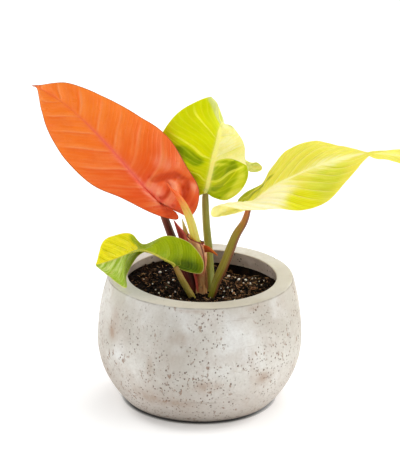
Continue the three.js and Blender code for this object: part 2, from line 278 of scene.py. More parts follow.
cameraSettings = {
    "target": (-1.21, 0, 156.0),
    "distance": 2467,
    "elevation": 19.85,
    "roll": 1.0,
    "lens": 222.5,
    "sensor": 36,
}


def makeCamera(settings):
    rise = math.radians(settings["elevation"])
    away = settings["distance"] * mm
    x, y, z = (value * mm for value in settings["target"])
    bpy.ops.object.camera_add(location=(x, y - away * math.cos(rise), z + away * math.sin(rise)))
    camera = bpy.context.object
    camera.name = "camera"
    turn = Matrix.Rotation(math.pi / 2 - rise, 4, "X") @ Matrix.Rotation(
        math.radians(settings["roll"]), 4, "Z"
    )
    camera.rotation_euler = turn.to_euler()
    camera.data.lens = settings["lens"]
    camera.data.sensor_width = settings["sensor"]
    camera.data.clip_end = 100
    camera.data.dof.use_dof = False
    bpy.context.scene.camera = camera


lightSettings = {
    # brightness of the room straight ahead, to the sides and overhead
    "roomFront": 0.22,
    "roomSides": 0.98,
    "roomTop": 0.6,
    # name: place, aims at, size, watts, colour
    "lamps": {
        "rightWindow": ((1.55, -0.3, 0.9), (0, 0, 0.1), 1.5, 10.2, (1.0, 0.99, 0.975)),
        "leftPanel": ((-1.6, -0.1, 0.7), (0, 0, 0.12), 1.4, 6.6, (0.98, 0.99, 1.0)),
        "topBack": ((0.3, 1.1, 1.6), (0, 0, 0.15), 1.3, 8.4, (1.0, 0.99, 0.98)),
    },
    "floor": (0.94, 0.94, 0.94),
    "floorGlow": 0.17,
    # the floor glows less within these distances from a point before the foot
    "glowFrom": (0.064, 0.082),
    "glowCentre": (-0.004, -0.014),
    "glowStretch": 1.22,
    # painted contact shadow: how far the gap's dark reaches, between which openness it fades, and
    # how dark it is
    "gapReach": 0.0045,
    "gapFrom": (0.25, 0.8),
    "gapShadowShare": 0.85,
}


def makeStage(settings):
    deselectAll()
    bpy.ops.mesh.primitive_plane_add(size=24, location=(0, 4, 0))
    floor = bpy.context.object
    floor.name = "floor"
    bpy.ops.object.transform_apply(location=True)
    shader = Shader("paleFloor")
    soft = shader.noise(9, 2)
    shader.color = shader.mix(
        shader.ramp(soft, 0.3, 0.7, 0, 0.03), settings["floor"], (0.8, 0.8, 0.8)
    )
    # painted contact shadow: the floor's colour is darkened in the narrow gap under the bowl, where
    # the ambient occlusion node finds it closed in
    gap = shader.fed("AmbientOcclusion", {"Distance": settings["gapReach"]}, samples=12)
    dark = shader.ramp(gap.outputs["AO"], *settings["gapFrom"], settings["gapShadowShare"], 0)
    shader.over(dark, (0.02, 0.02, 0.02))
    shader.surface.inputs["Emission Color"].default_value = (1, 1, 1, 1)
    x, y = settings["glowCentre"]
    wide = settings["glowStretch"]
    around = shader.place(scale=(wide, 1, 1), move=(-x * wide, -y, 0))
    away = shader.fed("VectorMath", {0: around}, operation="LENGTH")
    glow = shader.ramp(away.outputs["Value"], *settings["glowFrom"], 0, settings["floorGlow"])
    shader.put(shader.surface.inputs["Emission Strength"], glow)
    floor.data.materials.append(shader.finish(0.65))
    world = bpy.data.worlds.new("studio")
    world.use_nodes = True
    tree = world.node_tree
    direction = tree.nodes.new("ShaderNodeTexCoord")
    split = tree.nodes.new("ShaderNodeSeparateXYZ")
    tree.links.new(direction.outputs["Generated"], split.inputs[0])
    sideways = tree.nodes.new("ShaderNodeMath")
    sideways.operation = "ABSOLUTE"
    tree.links.new(split.outputs[0], sideways.inputs[0])
    strength = None
    for value, low, high, tone in (
        (sideways.outputs[0], 0.15, 0.85, settings["roomSides"]),
        (split.outputs[2], 0.45, 0.8, settings["roomTop"]),
    ):
        blend = tree.nodes.new("ShaderNodeMapRange")
        blend.interpolation_type = "SMOOTHSTEP"
        blend.inputs["From Min"].default_value = low
        blend.inputs["From Max"].default_value = high
        blend.inputs["To Min"].default_value = settings["roomFront"]
        blend.inputs["To Max"].default_value = tone
        tree.links.new(value, blend.inputs["Value"])
        if strength is not None:
            tree.links.new(strength, blend.inputs["To Min"])
        strength = blend.outputs["Result"]
    tree.links.new(strength, tree.nodes["Background"].inputs["Strength"])
    tree.nodes["Background"].inputs["Color"].default_value = (1, 1, 1, 1)
    bpy.context.scene.world = world
    for name, (place, aim, size, watts, color) in settings["lamps"].items():
        bpy.ops.object.light_add(type="AREA", location=place)
        lamp = bpy.context.object
        lamp.name = name
        lamp.data.shape = "DISK"
        lamp.data.size = size
        lamp.data.energy = watts
        lamp.data.color = color
        lamp.rotation_euler = (Vector(aim) - Vector(place)).to_track_quat("-Z", "Y").to_euler()
    bpy.context.scene.view_settings.view_transform = "Standard"
    bpy.context.scene.view_settings.look = "Medium High Contrast"


makeCamera(cameraSettings)
makeStage(lightSettings)
print("camera, floor and light are ready")


bowl = {
    "bellyRadius": 90,
    "bellyHeight": 57,
    "lowerArc": 77,
    "upperArc": 178.7,
    "footRound": 6,
    "height": 113,
    "wall": 15,
    "rimEdge": 0.8,
    "openingShift": 1.3,
    "sides": 288,
    "wobble": 0.35,
    "wallRows": 62,
    "insideHeights": (110.5, 108, 105.5, 103, 100, 95, 88, 78, 66, 54, 42, 32, 24, 18.5, 16),
    # air holes: number, size and depth of each kind, and the space between them
    "pits": ((110, 0.85, 1.0), (500, 0.6, 0.75), (750, 0.42, 0.55)),
    "pitSpacing": 3.1,
    # drifts of pits and warm stains: direction in degrees, height, their spans, strength
    "drifts": [
        (-96, 108, 9, 5, 0.9), (-55, 109, 7, 5, 0.8), (-128, 82, 12, 10, 0.3),
        (-42, 47, 9, 12, 0.5),
        (-119, 58, 8, 14, 0.5), (-104, 25, 26, 6, 0.6), (-88, 46, 16, 12, 0.5),
        (-75, 24, 30, 6, 0.4),
        (-22, 62, 10, 22, 0.3), (35, 40, 14, 14, 0.5), (80, 90, 12, 8, 0.5), (120, 50, 16, 14, 0.5),
        (165, 60, 12, 20, 0.4),
    ],
    "stains": [
        (-149, 76, 3, 7, 0.6), (-147, 86, 9, 18, 0.4), (-86, 44, 10, 7, 0.65), (-50, 46, 7, 8, 0.6),
        (-101, 86, 8, 8, 0.45), (-104, 68, 9, 9, 0.35), (-118, 58, 3, 12, 0.45),
        (-139, 48, 9, 8, 0.4), (-104, 24, 20, 5, 0.45), (-122, 30, 14, 12, 0.4),
        (-96, 110, 14, 2, 0.5), (-55, 109, 8, 3, 0.6), (-20, 40, 12, 12, 0.35),
        (35, 70, 8, 12, 0.6),
        (75, 48, 12, 9, 0.5), (112, 40, 10, 9, 0.6), (150, 84, 7, 11, 0.6), (-176, 50, 9, 9, 0.5),
    ],
}


def outerRadius(z, inset=0):
    b = bowl
    arc = b["lowerArc"] if z < b["bellyHeight"] else b["upperArc"]
    return b["bellyRadius"] - arc + math.sqrt((arc - inset) ** 2 - (z - b["bellyHeight"]) ** 2)


def innerRadius(z):
    return outerRadius(z, bowl["wall"])


def bowlProfile():
    # radius, height and sideways shift of each ring, from the foot over the rim to the inside floor
    b = bowl
    centre = b["bellyRadius"] - b["lowerArc"]
    reach = math.sqrt(
        (b["lowerArc"] - b["footRound"]) ** 2 - (b["bellyHeight"] - b["footRound"]) ** 2
    )
    turnTo = math.atan2(b["footRound"] - b["bellyHeight"], reach)
    rings = [(centre + reach - 6, 0.45, 0), (centre + reach - 4.5, 0, 0)]
    for i in range(7):
        angle = -math.pi / 2 + (turnTo + math.pi / 2) * i / 6
        rings.append(
            (
                centre + reach + b["footRound"] * math.cos(angle),
                b["footRound"] * (1 + math.sin(angle)), 0
            )
        )
    start = rings[-1][1]
    top = b["height"] - b["rimEdge"]
    for i in range(1, b["wallRows"] + 1):
        z = start + (top - start) * i / b["wallRows"]
        rings.append((outerRadius(z), z, 0))
    outer = outerRadius(top)
    rings.append((outer - 0.22, b["height"] - 0.28, 0))
    rings.append((outer - 0.62, b["height"] - 0.03, 0))
    inner = innerRadius(top)
    shift = b["openingShift"]
    for i in range(1, 8):
        share = i / 8
        rings.append(
            (outer - 0.8 + (inner + 1.2 - outer + 0.8) * share, b["height"], shift * share)
        )
    rings.append((inner + 1.0, b["height"], shift))
    rings.append((inner + 0.35, b["height"] - 0.2, shift))
    rings.append((inner, b["height"] - 0.8, shift))
    for z in b["insideHeights"]:
        rings.append((innerRadius(max(z, 16.5)) - (2.5 if z < 17 else 0), z, shift))
    rings.append((38, 15, shift))
    return rings


def makeBowl():
    b = bowl
    deselectAll()
    rings = bowlProfile()
    radius, height, shift = rings[0]
    bpy.ops.mesh.primitive_circle_add(
        vertices=b["sides"], radius=radius * mm, fill_type="NGON", location=(0, 0, height * mm)
    )
    piece = started("bowl")
    bpy.ops.object.transform_apply(location=True)
    bpy.ops.object.mode_set(mode="EDIT")
    bpy.ops.mesh.select_all(action="SELECT")
    bpy.ops.mesh.flip_normals()
    bpy.ops.mesh.delete(type="ONLY_FACE")
    bpy.ops.mesh.select_all(action="SELECT")
    for newRadius, newHeight, newShift in rings[1:]:
        bpy.ops.mesh.extrude_edges_move(
            TRANSFORM_OT_translate={
                "value": ((newShift - shift) * mm, 0, (newHeight - height) * mm)
            }
        )
        grow = newRadius / radius
        bpy.ops.transform.resize(
            value=(grow, grow, 1), center_override=(newShift * mm, 0, newHeight * mm)
        )
        radius, height, shift = newRadius, newHeight, newShift
    bpy.ops.mesh.edge_face_add()
    bpy.ops.mesh.select_all(action="DESELECT")
    bpy.ops.mesh.select_mode(type="EDGE")
    bpy.ops.mesh.select_non_manifold()
    bpy.ops.mesh.edge_face_add()
    closeOutward()
    roughenBowl(piece)
    points = coordinates(piece.data) / mm
    attribute(
        piece.data, "stain",
        spread(b["stains"], np.arctan2(points[:, 1], points[:, 0]), points[:, 2])
    )
    pressPits(piece)
    paintBowl(piece)
    smoothShaded(piece, 50)
    finished(piece, "concrete", "concrete_pot")


def roughenBowl(piece):
    # hand-cast unevenness of the wall and small nicks along the rim's edges
    b = bowl
    points = coordinates(piece.data)
    around = np.arctan2(points[:, 1], points[:, 0])
    outward = np.stack([np.cos(around), np.sin(around), 0 * around], 1)
    high = points[:, 2] / mm
    slow = (
        softNoise(points, 0.045, 1) * b["wobble"] + softNoise(points, 0.012, 2) * b["wobble"] * 0.35
    )
    standing = smooth(0.2, 8, high)
    radial = np.hypot(points[:, 0], points[:, 1]) / mm
    outer = radial > 79 - 12 * (high < 50)
    points += outward * (slow * standing * np.where(outer, 1, 0.4) * mm)[:, None]
    rimTop = high > b["height"] - 0.5
    fine = softNoise(points, 0.006, 3)
    points[:, 2] -= np.where(rimTop, 0.1 + 0.1 * fine + 0.1 * softNoise(points, 0.03, 4), 0) * mm
    chip = (
        smooth(0.38, 0.6, softNoise(points, 0.0035, 5))
        * smooth(0.0, 0.3, softNoise(points, 0.02, 6))
    )
    edge = (high > b["height"] - 1.2) & (np.abs(radial - 80.6) < 1.6)
    points -= outward * (np.where(edge, chip * 0.7, 0) * mm)[:, None]
    points[:, 2] -= np.where(edge, chip * 0.6, 0) * mm
    putCoordinates(piece.data, points)


def spread(places, angle, high):
    # sum of soft spots on the wall
    total = 0 * high
    for direction, height, spanAngle, spanHeight, strength in places:
        off = (np.degrees(angle) - direction + 180) % 360 - 180
        total = (
            total
            + strength * np.exp(-((off / spanAngle) ** 2) - ((high - height) / spanHeight) ** 2)
        )
    return total


def pressPits(piece):
    # air holes: points of the wall are bevelled into small rings and pressed in
    b = bowl
    rng = random.Random(11)
    points = coordinates(piece.data) / mm
    radial = np.hypot(points[:, 0], points[:, 1])
    free = [
        i for i in range(len(points))
        if 12 < points[i, 2] < 110 and radial[i] > outerRadius(points[i, 2]) - 2
    ]
    rng.shuffle(free)
    taken = []

    def wanted(p):
        # more holes low down, in drifts, and below the rim at the front
        drift = noise.noise(Vector(p) / 24 + Vector((3, 1, 8)))
        low = 1.0 - 0.75 * min(1, max(0, (p[2] - 30) / 40))
        return max(
            0.04, 0.26 * low + 0.5 * drift + spread(b["drifts"], math.atan2(p[1], p[0]), p[2])
        )

    def choose(count, apart):
        chosen = []
        for i in free:
            if len(chosen) == count:
                break
            if rng.random() > wanted(points[i]):
                continue
            x, y, z = points[i]
            if all((x - q[0]) ** 2 + (y - q[1]) ** 2 + (z - q[2]) ** 2 > apart**2 for q in taken):
                chosen.append(i)
                taken.append(points[i])
        return chosen

    # The bevel renumbers points, so each kind is kept in a group first.
    for number, (count, size, deep) in enumerate(b["pits"]):
        group = piece.vertex_groups.new(name=f"pits{number}")
        group.add(choose(count, b["pitSpacing"]), 1, "REPLACE")
    active(piece)
    for material in (concreteWall(), pitDust(), concreteRim(), concreteInside()):
        piece.data.materials.append(material)
    for number, (count, size, deep) in enumerate(b["pits"]):
        bpy.ops.object.mode_set(mode="EDIT")
        bpy.ops.mesh.select_mode(type="VERT")
        bpy.ops.mesh.select_all(action="DESELECT")
        piece.vertex_groups.active_index = number
        bpy.ops.object.vertex_group_select()
        bpy.ops.mesh.bevel(offset=size * mm, segments=2, affect="VERTICES", clamp_overlap=True)
        bpy.ops.mesh.select_mode(type="FACE")
        bpy.ops.mesh.inset(thickness=size * 0.22 * mm, depth=-deep * 0.7 * mm)
        piece.active_material_index = 1
        bpy.ops.object.material_slot_assign()
        bpy.ops.mesh.inset(thickness=size * 0.25 * mm, depth=-deep * 0.3 * mm)
        bpy.ops.object.mode_set(mode="OBJECT")
    while piece.vertex_groups:
        piece.vertex_groups.remove(piece.vertex_groups[0])


def paintBowl(piece):
    # the rim and the inside get their own finish
    b = bowl
    for face in piece.data.polygons:
        c = face.center / mm
        radial = math.hypot(c.x - b["openingShift"], c.y)
        if face.material_index == 1:
            continue
        if c.z > b["height"] - 0.45 and abs(face.normal.z) > 0.5:
            face.material_index = 2
        elif c.z > 14 and radial < innerRadius(max(c.z, 17)) + 2.5:
            face.material_index = 3


def concreteWall():
    s = Shader("concreteWall", **{"Specular IOR Level": 0.25})
    high = s.part(2)
    broad = s.noise(14, 3, 0.5)
    medium = s.noise(55, 5, 0.6, distortion=0.6)
    fine = s.noise(420, 4, 0.65)
    s.color = s.mix(s.ramp(broad, 0.35, 0.68), rgb(191, 186, 177), rgb(219, 217, 211))
    s.over(s.ramp(medium, 0.42, 0.72, 0, 0.5), rgb(189, 179, 170))
    pale = s.noise(30, 3, 0.5, s.place(move=(4, 1, 2)))
    s.over(s.ramp(pale, 0.52, 0.75, 0, 0.45), rgb(230, 232, 231))
    # the lower wall is a little pinker and darker
    s.over(s.ramp(high, 0.06, 0.012, 0, 0.5), rgb(186, 175, 167))
    # warm brown stains where water and soil ran down
    smear = s.noise(60, 5, 0.7, s.place(scale=(1.4, 1.4, 0.5), move=(2, 7, 1)))
    stain = s.times(s.read("stain"), s.ramp(smear, 0.25, 0.7, 0.35, 1.3))
    s.over(s.ramp(stain, 0.05, 1.0, 0, 0.75), rgb(160, 128, 104))
    run = s.noise(16, 4, 0.6, s.place(scale=(1.6, 1.6, 0.45), move=(0.31, 0.2, 0.6)))
    s.over(s.ramp(run, 0.58, 0.78, 0, 0.4), rgb(180, 156, 138))
    # specks, sand grains and larger brown air holes, more of them low down
    specks = s.cells(330, s.place(scale=(1, 1, 0.8)))
    drift = s.plus(
        s.noise(38, 2, 0.5, s.place(move=(1, 3, 9))), s.ramp(high, 0.025, 0.085, 0.14, 0)
    )
    speckMask = s.times(s.ramp(specks, 0.1, 0.26, 1, 0), s.ramp(drift, 0.48, 0.6))
    s.over(s.times(speckMask, 0.8), rgb(116, 98, 84))
    uneven = s.times(s.minus(s.noise(460, 3, 0.6), 0.5), 0.48)
    holes = s.plus(
        s.cells(235, s.place(scale=(1, 1, 0.75), turn=(0.2, 0.5, 0), move=(3, 3, 3))), uneven
    )
    holeMask = s.times(s.ramp(holes, 0.06, 0.2, 1, 0), s.ramp(drift, 0.46, 0.58))
    s.over(s.times(holeMask, 0.85), rgb(112, 92, 78))
    # ragged brown flecks among them
    fleck = s.noise(250, 3, 0.6, s.place(scale=(1, 1, 0.6), move=(7, 2, 5)))
    flecks = s.times(s.ramp(fleck, 0.6, 0.67, 0, 0.75), s.ramp(drift, 0.44, 0.58))
    s.over(flecks, rgb(146, 120, 102))
    # faint slanting scratches left by the mould
    slant = s.noise(48, 4, 0.7, s.place(scale=(0.35, 0.35, 4.0), turn=(0.5, 0.75, 0.3)))
    s.over(s.ramp(slant, 0.6, 0.76, 0, 0.4), rgb(156, 144, 132))
    s.over(s.ramp(fine, 0.35, 0.7, 0.0, 0.2), rgb(170, 162, 152))
    # painted shade: a thin dark line under the rim's edge; the wall is also a little darker near
    # the ground
    under = s.times(s.ramp(high, 0.111, 0.1122, 0, 0.6), s.ramp(medium, 0.3, 0.6, 0.3, 1))
    s.over(under, rgb(140, 130, 114))
    s.over(s.ramp(high, 0.0, 0.02, 0.3, 0), rgb(170, 158, 146))
    relief = s.bump(fine, 0.00025, 0.6)
    relief = s.bump(medium, 0.0009, 0.5, relief)
    relief = s.bump(s.minus(1.0, s.math("MAXIMUM", speckMask, holeMask)), 0.0006, 0.8, relief)
    return s.finish(s.ramp(medium, 0.3, 0.7, 0.78, 0.95), relief)


def pitDust():
    s = Shader("pitDust", **{"Specular IOR Level": 0.2})
    grain = s.noise(300, 4, 0.6)
    s.color = s.mix(s.ramp(s.noise(90, 3), 0.35, 0.65), rgb(82, 66, 54), rgb(128, 108, 92))
    return s.finish(s.ramp(grain, 0.3, 0.7, 0.85, 1.0), s.bump(grain, 0.0003, 0.8))


def concreteRim():
    s = Shader("concreteRim", **{"Specular IOR Level": 0.3})
    fine = s.noise(380, 4, 0.6)
    medium = s.noise(60, 4, 0.6)
    s.color = s.mix(s.ramp(s.noise(16, 3), 0.35, 0.65), rgb(204, 199, 193), rgb(219, 215, 209))
    # the front part is yellower than the rest
    s.over(s.ramp(s.part(1), -0.082, -0.04, 0.8, 0), rgb(202, 196, 179))
    s.over(s.ramp(medium, 0.48, 0.72, 0, 0.45), rgb(192, 184, 168))
    s.over(s.ramp(fine, 0.55, 0.8, 0, 0.3), rgb(172, 164, 150))
    pores = s.ramp(s.cells(260), 0.06, 0.14, 1, 0)
    pores = s.times(pores, s.ramp(s.noise(50, 2, 0.5, s.place(move=(5, 5, 5))), 0.55, 0.65))
    s.over(s.times(pores, 0.6), rgb(128, 116, 102))
    relief = s.bump(fine, 0.0002, 0.6)
    relief = s.bump(s.minus(1.0, pores), 0.0003, 0.6, relief)
    return s.finish(s.ramp(medium, 0.3, 0.7, 0.7, 0.88), relief)


def concreteInside():
    s = Shader("concreteInside", **{"Specular IOR Level": 0.35})
    medium = s.noise(60, 5, 0.65)
    fine = s.noise(420, 4, 0.6)
    high = s.part(2)
    edge = s.plus(high, s.times(s.minus(s.noise(140, 4, 0.7), 0.5), 0.007))
    s.color = s.mix(s.ramp(medium, 0.35, 0.68), rgb(198, 183, 170), rgb(222, 209, 197))
    s.over(s.ramp(edge, 0.1095, 0.1135, 0, 0.5), rgb(190, 180, 166))
    splash = s.ramp(edge, 0.09, 0.1, 0.5, 0)
    s.over(splash, rgb(40, 32, 28))
    dots = s.times(s.ramp(s.cells(240), 0.14, 0.26, 1, 0), s.ramp(s.noise(70, 3), 0.45, 0.6))
    s.over(s.times(dots, 0.7), rgb(48, 38, 32))
    relief = s.bump(medium, 0.0008, 0.5, s.bump(fine, 0.0002, 0.5))
    return s.finish(s.ramp(medium, 0.35, 0.65, 0.5, 0.75), relief)


makeBowl()
print("the bowl is ready")


soil = {
    "centre": 100,
    "edge": 105.4,
    "leftRise": 1.2,
    "leftAngle": 165,
    "slump": 1.8,
    "washSlump": 5.2,
    "wash": 7,
    "washAngle": 58,
    "washSpread": 25,
    "dish": 1.5,
    "footRadius": 60,
    "footHeight": 15.4,
    "wallHeights": (18, 30, 45, 60, 75, 90, 99),
    "flatHeight": 104,  # where the surface is laid out before it gets its heights
    "sides": 144,
    "rows": 44,
    "mounds": 1.5,
    "crumbs": 3300,
    "lumps": 430,
    "fibres": 240,
    "perlite": 42,
    "chips": 90,
}


def soilAtWall(angle):
    degrees = np.degrees(angle)
    offWash = (degrees - soil["washAngle"] + 180) % 360 - 180
    wash = soil["wash"] * np.exp(-((offWash / soil["washSpread"]) ** 2))
    return soil["edge"] + soil["leftRise"] * np.cos(np.radians(degrees - soil["leftAngle"])) - wash


def soilHeight(x, y):
    # height of the surface in mm, with its mounds
    x, y = np.atleast_1d(x), np.atleast_1d(y)
    away = np.hypot(x - bowl["openingShift"], y)
    share = np.minimum(1, away / innerRadius(soil["edge"]))
    base = (
        soil["centre"]
        + (soilAtWall(np.arctan2(y, x - bowl["openingShift"])) - soil["centre"])
        * share ** soil["dish"]
    )
    flat = np.stack([x, y, 0 * x], 1)
    offWash = (
        (np.degrees(np.arctan2(y, x - bowl["openingShift"])) - soil["washAngle"] + 180) % 360 - 180
    )
    slump = soil["slump"] + soil["washSlump"] * np.exp(-((offWash / soil["washSpread"]) ** 2))
    mounds = soil["mounds"] * (softNoise(flat, 11, 8) + 0.45 * softNoise(flat, 4, 9))
    outward = np.clip((share - 0.62) / 0.38, 0, 1)
    return base - slump * outward + mounds * (1 - 0.7 * outward)


def heightsAt(spots):
    return soilHeight(*np.array([spot[:2] for spot in spots], float).T)


def makeSoil():
    deselectAll()
    shift = bowl["openingShift"]
    radius, height = soil["footRadius"], soil["footHeight"]
    bpy.ops.mesh.primitive_circle_add(
        vertices=soil["sides"], radius=radius * mm, fill_type="NGON",
        location=(shift * mm, 0, height * mm)
    )
    piece = started("soil")
    bpy.ops.object.transform_apply(location=True)
    bpy.ops.object.mode_set(mode="EDIT")
    bpy.ops.mesh.select_all(action="SELECT")
    rings = [(innerRadius(z) - 0.6, z) for z in soil["wallHeights"]]
    flat = soil["flatHeight"]
    top = innerRadius(flat) - 0.35
    rings += [(top * (1 - i / soil["rows"]) ** 0.9 + 0.2, flat) for i in range(soil["rows"])]
    for newRadius, newHeight in rings:
        bpy.ops.mesh.extrude_region_move(
            TRANSFORM_OT_translate={"value": (0, 0, (newHeight - height) * mm)}
        )
        grow = newRadius / radius
        bpy.ops.transform.resize(
            value=(grow, grow, 1), center_override=(shift * mm, 0, newHeight * mm)
        )
        radius, height = newRadius, newHeight
    closeOutward()
    points = coordinates(piece.data)
    upper = points[:, 2] > (flat - 0.1) * mm
    heights = soilHeight(points[upper, 0] / mm, points[upper, 1] / mm)
    points[upper, 2] = (heights - 0.5) * mm
    away = points[upper, :2] - np.array([shift * mm, 0])
    limit = np.array([innerRadius(max(90, min(111, h))) - 0.4 for h in heights]) * mm
    long = np.hypot(away[:, 0], away[:, 1])
    away *= (np.minimum(long, limit) / np.maximum(long, 1e-9))[:, None]
    points[upper, :2] = away + np.array([shift * mm, 0])
    putCoordinates(piece.data, points)
    piece.data.materials.append(soilEarth())
    smoothShaded(piece)
    finished(piece, "soil", "potting_soil")


def soilEarth():
    s = Shader("soilEarth", **{"Specular IOR Level": 0.15})
    grain = s.noise(520, 5, 0.7)
    clod = s.noise(150, 4, 0.65)
    s.color = s.mix(s.ramp(clod, 0.35, 0.7), rgb(12, 8, 6), rgb(44, 31, 23))
    s.over(s.ramp(grain, 0.6, 0.8, 0, 0.5), rgb(112, 84, 60))
    relief = s.bump(clod, 0.0022, 0.9, s.bump(grain, 0.0007, 0.8))
    return s.finish(s.ramp(grain, 0.3, 0.7, 0.7, 0.98), relief)


def crumbEarth():
    s = Shader("crumbEarth", **{"Specular IOR Level": 0.15})
    grain = s.noise(700, 4, 0.7)
    s.color = s.mix(s.ramp(s.noise(190, 2), 0.35, 0.68), rgb(9, 6, 4), rgb(50, 35, 25))
    s.over(s.ramp(s.read("tone"), 0.55, 0.95, 0, 0.95), rgb(132, 100, 74))
    s.over(s.ramp(grain, 0.55, 0.8, 0, 0.6), rgb(140, 110, 82))
    return s.finish(s.ramp(grain, 0.3, 0.7, 0.65, 0.95), s.bump(grain, 0.0006, 0.8))


def strawFibre():
    s = Shader("strawFibre", **{"Specular IOR Level": 0.3})
    grain = s.noise(260, 4, 0.6)
    s.color = s.mix(s.ramp(s.noise(90, 2), 0.4, 0.6), rgb(116, 84, 56), rgb(200, 164, 122))
    return s.finish(s.ramp(grain, 0.3, 0.7, 0.7, 0.95), s.bump(grain, 0.0003, 0.7))


def barkBrown():
    s = Shader("barkBrown", **{"Specular IOR Level": 0.3})
    layers = s.noise(160, 5, 0.6, s.place(scale=(1, 3, 6), turn=(0.3, 0.5, 0.2)))
    s.color = s.mix(s.ramp(layers, 0.35, 0.68), rgb(96, 62, 42), rgb(184, 140, 100))
    return s.finish(s.ramp(layers, 0.3, 0.7, 0.65, 0.9), s.bump(layers, 0.0009, 0.9))


def perliteWhite():
    s = Shader("perliteWhite", **{"Subsurface Weight": 0.1, "Subsurface Scale": 0.001})
    pores = s.cells(1400)
    dirt = s.noise(420, 4, 0.6)
    s.color = s.mix(s.ramp(dirt, 0.45, 0.75, 0, 0.7), rgb(243, 239, 230), rgb(186, 168, 146))
    return s.finish(s.ramp(pores, 0.1, 0.5, 0.95, 0.7), s.bump(pores, 0.0004, 0.8))


def roughBall(name, rings, uneven, seed):
    # a lumpy grain of radius 1, used for crumbs, clods and perlite
    deselectAll()
    bpy.ops.mesh.primitive_ico_sphere_add(subdivisions=rings, radius=1)
    piece = started(name)
    points = coordinates(piece.data)
    points *= (
        1 + uneven * softNoise(points, 0.8, seed) + 0.5 * uneven * softNoise(points, 0.35, seed + 1)
    )[:, None]
    points[:, 2] *= 0.8
    putCoordinates(piece.data, points)
    return piece


def scattered(name, kinds, places, material, slot, smoothShading=True):
    # one mesh of many copies: places holds (kind, middle, size, turn, stretch) for each
    points, faces, tones = [], [], []
    first = 0
    rng = random.Random(len(places))
    for kind, middle, size, turn, stretch in places:
        source = kinds[kind].data
        own = coordinates(source) * np.array(stretch) * size
        own = own @ np.array(turn.to_matrix()).T + np.array(middle)
        points.append(own)
        faces += [tuple(first + v for v in face.vertices) for face in source.polygons]
        first += len(own)
        # lighter bits lie more to the right and at the front left
        x, y = middle[:2]
        lightSide = 0.22 * math.exp(-(((x - 0.034) / 0.03) ** 2))
        lightSide += 0.16 * math.exp(-(((x + 0.03) / 0.02) ** 2) - ((y + 0.03) / 0.02) ** 2)
        tones += [rng.random() * 0.76 + lightSide] * len(own)
    piece = newPiece(name, np.concatenate(points).tolist(), faces, material)
    attribute(piece.data, "tone", tones)
    if smoothShading:
        smoothShaded(piece)
    for source in kinds:
        bpy.data.objects.remove(source)
    finished(piece, slot)


def setGrain(piece, name, size, stretch, turn, material, slot, angle=None):
    # a grain in the middle of the plain solid that it stands for
    points = coordinates(piece.data) * size * mm * np.array(stretch)
    points = points @ np.array(Matrix.Rotation(turn, 3, "Z")).T
    low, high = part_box(name)
    points += np.array((low + high) / 2)
    putCoordinates(piece.data, points)
    piece.data.materials.append(material)
    smoothShaded(piece, angle)
    finished(piece, slot, name)


def anyTurn(rng, tilt=math.pi):
    return Euler(
        (rng.uniform(-tilt, tilt), rng.uniform(-tilt, tilt), rng.uniform(-math.pi, math.pi))
    )


def soilSpot(rng, margin=1.5, near=0):
    # a place on the soil, in mm, clear of the wall
    while True:
        limit = innerRadius(104) - margin
        away = limit * math.sqrt(rng.random())
        angle = rng.uniform(0, 2 * math.pi)
        x, y = bowl["openingShift"] + away * math.cos(angle), away * math.sin(angle)
        if all(math.hypot(x - sx, y - sy) > size + near for sx, sy, size in stalkFeet):
            return x, y


# where stem and stalks leave the soil: x, y and radius
stalkFeet = [
    (0.7, -8.3, 4.6), (-8.6, -5.2, 4.4), (8.6, -2.6, 4), (10.4, -19.8, 3.8), (-6.6, -24, 3.2)
]


def makeCrumbs():
    rng = random.Random(21)
    kinds = [roughBall(f"crumbKind{i}", 1, 0.3, 30 + 3 * i) for i in range(5)]
    clods = [roughBall(f"clodKind{i}", 2, 0.34, 50 + 3 * i) for i in range(4)]
    places = []
    spots = [soilSpot(rng) for _ in range(soil["crumbs"] + soil["lumps"])]
    heights = heightsAt(spots)
    for number, ((x, y), z) in enumerate(zip(spots, heights)):
        big = number >= soil["crumbs"]
        size = rng.uniform(1.1, 2.3) if big else rng.uniform(0.35, 1.15)
        kind = 5 + rng.randrange(4) if big else rng.randrange(5)
        stretch = (rng.uniform(0.8, 1.3), rng.uniform(0.7, 1.1), rng.uniform(0.6, 0.95))
        sink = rng.uniform(-0.1, 0.5) * size
        keep = innerRadius(106) - size - 0.5
        away = math.hypot(x - bowl["openingShift"], y)
        if away > keep:
            x, y = bowl["openingShift"] + (x - bowl["openingShift"]) * keep / away, y * keep / away
        places.append((kind, (x * mm, y * mm, (z - sink) * mm), size * mm, anyTurn(rng), stretch))
    scattered("soil_crumbs", kinds + clods, places, crumbEarth(), "soil")


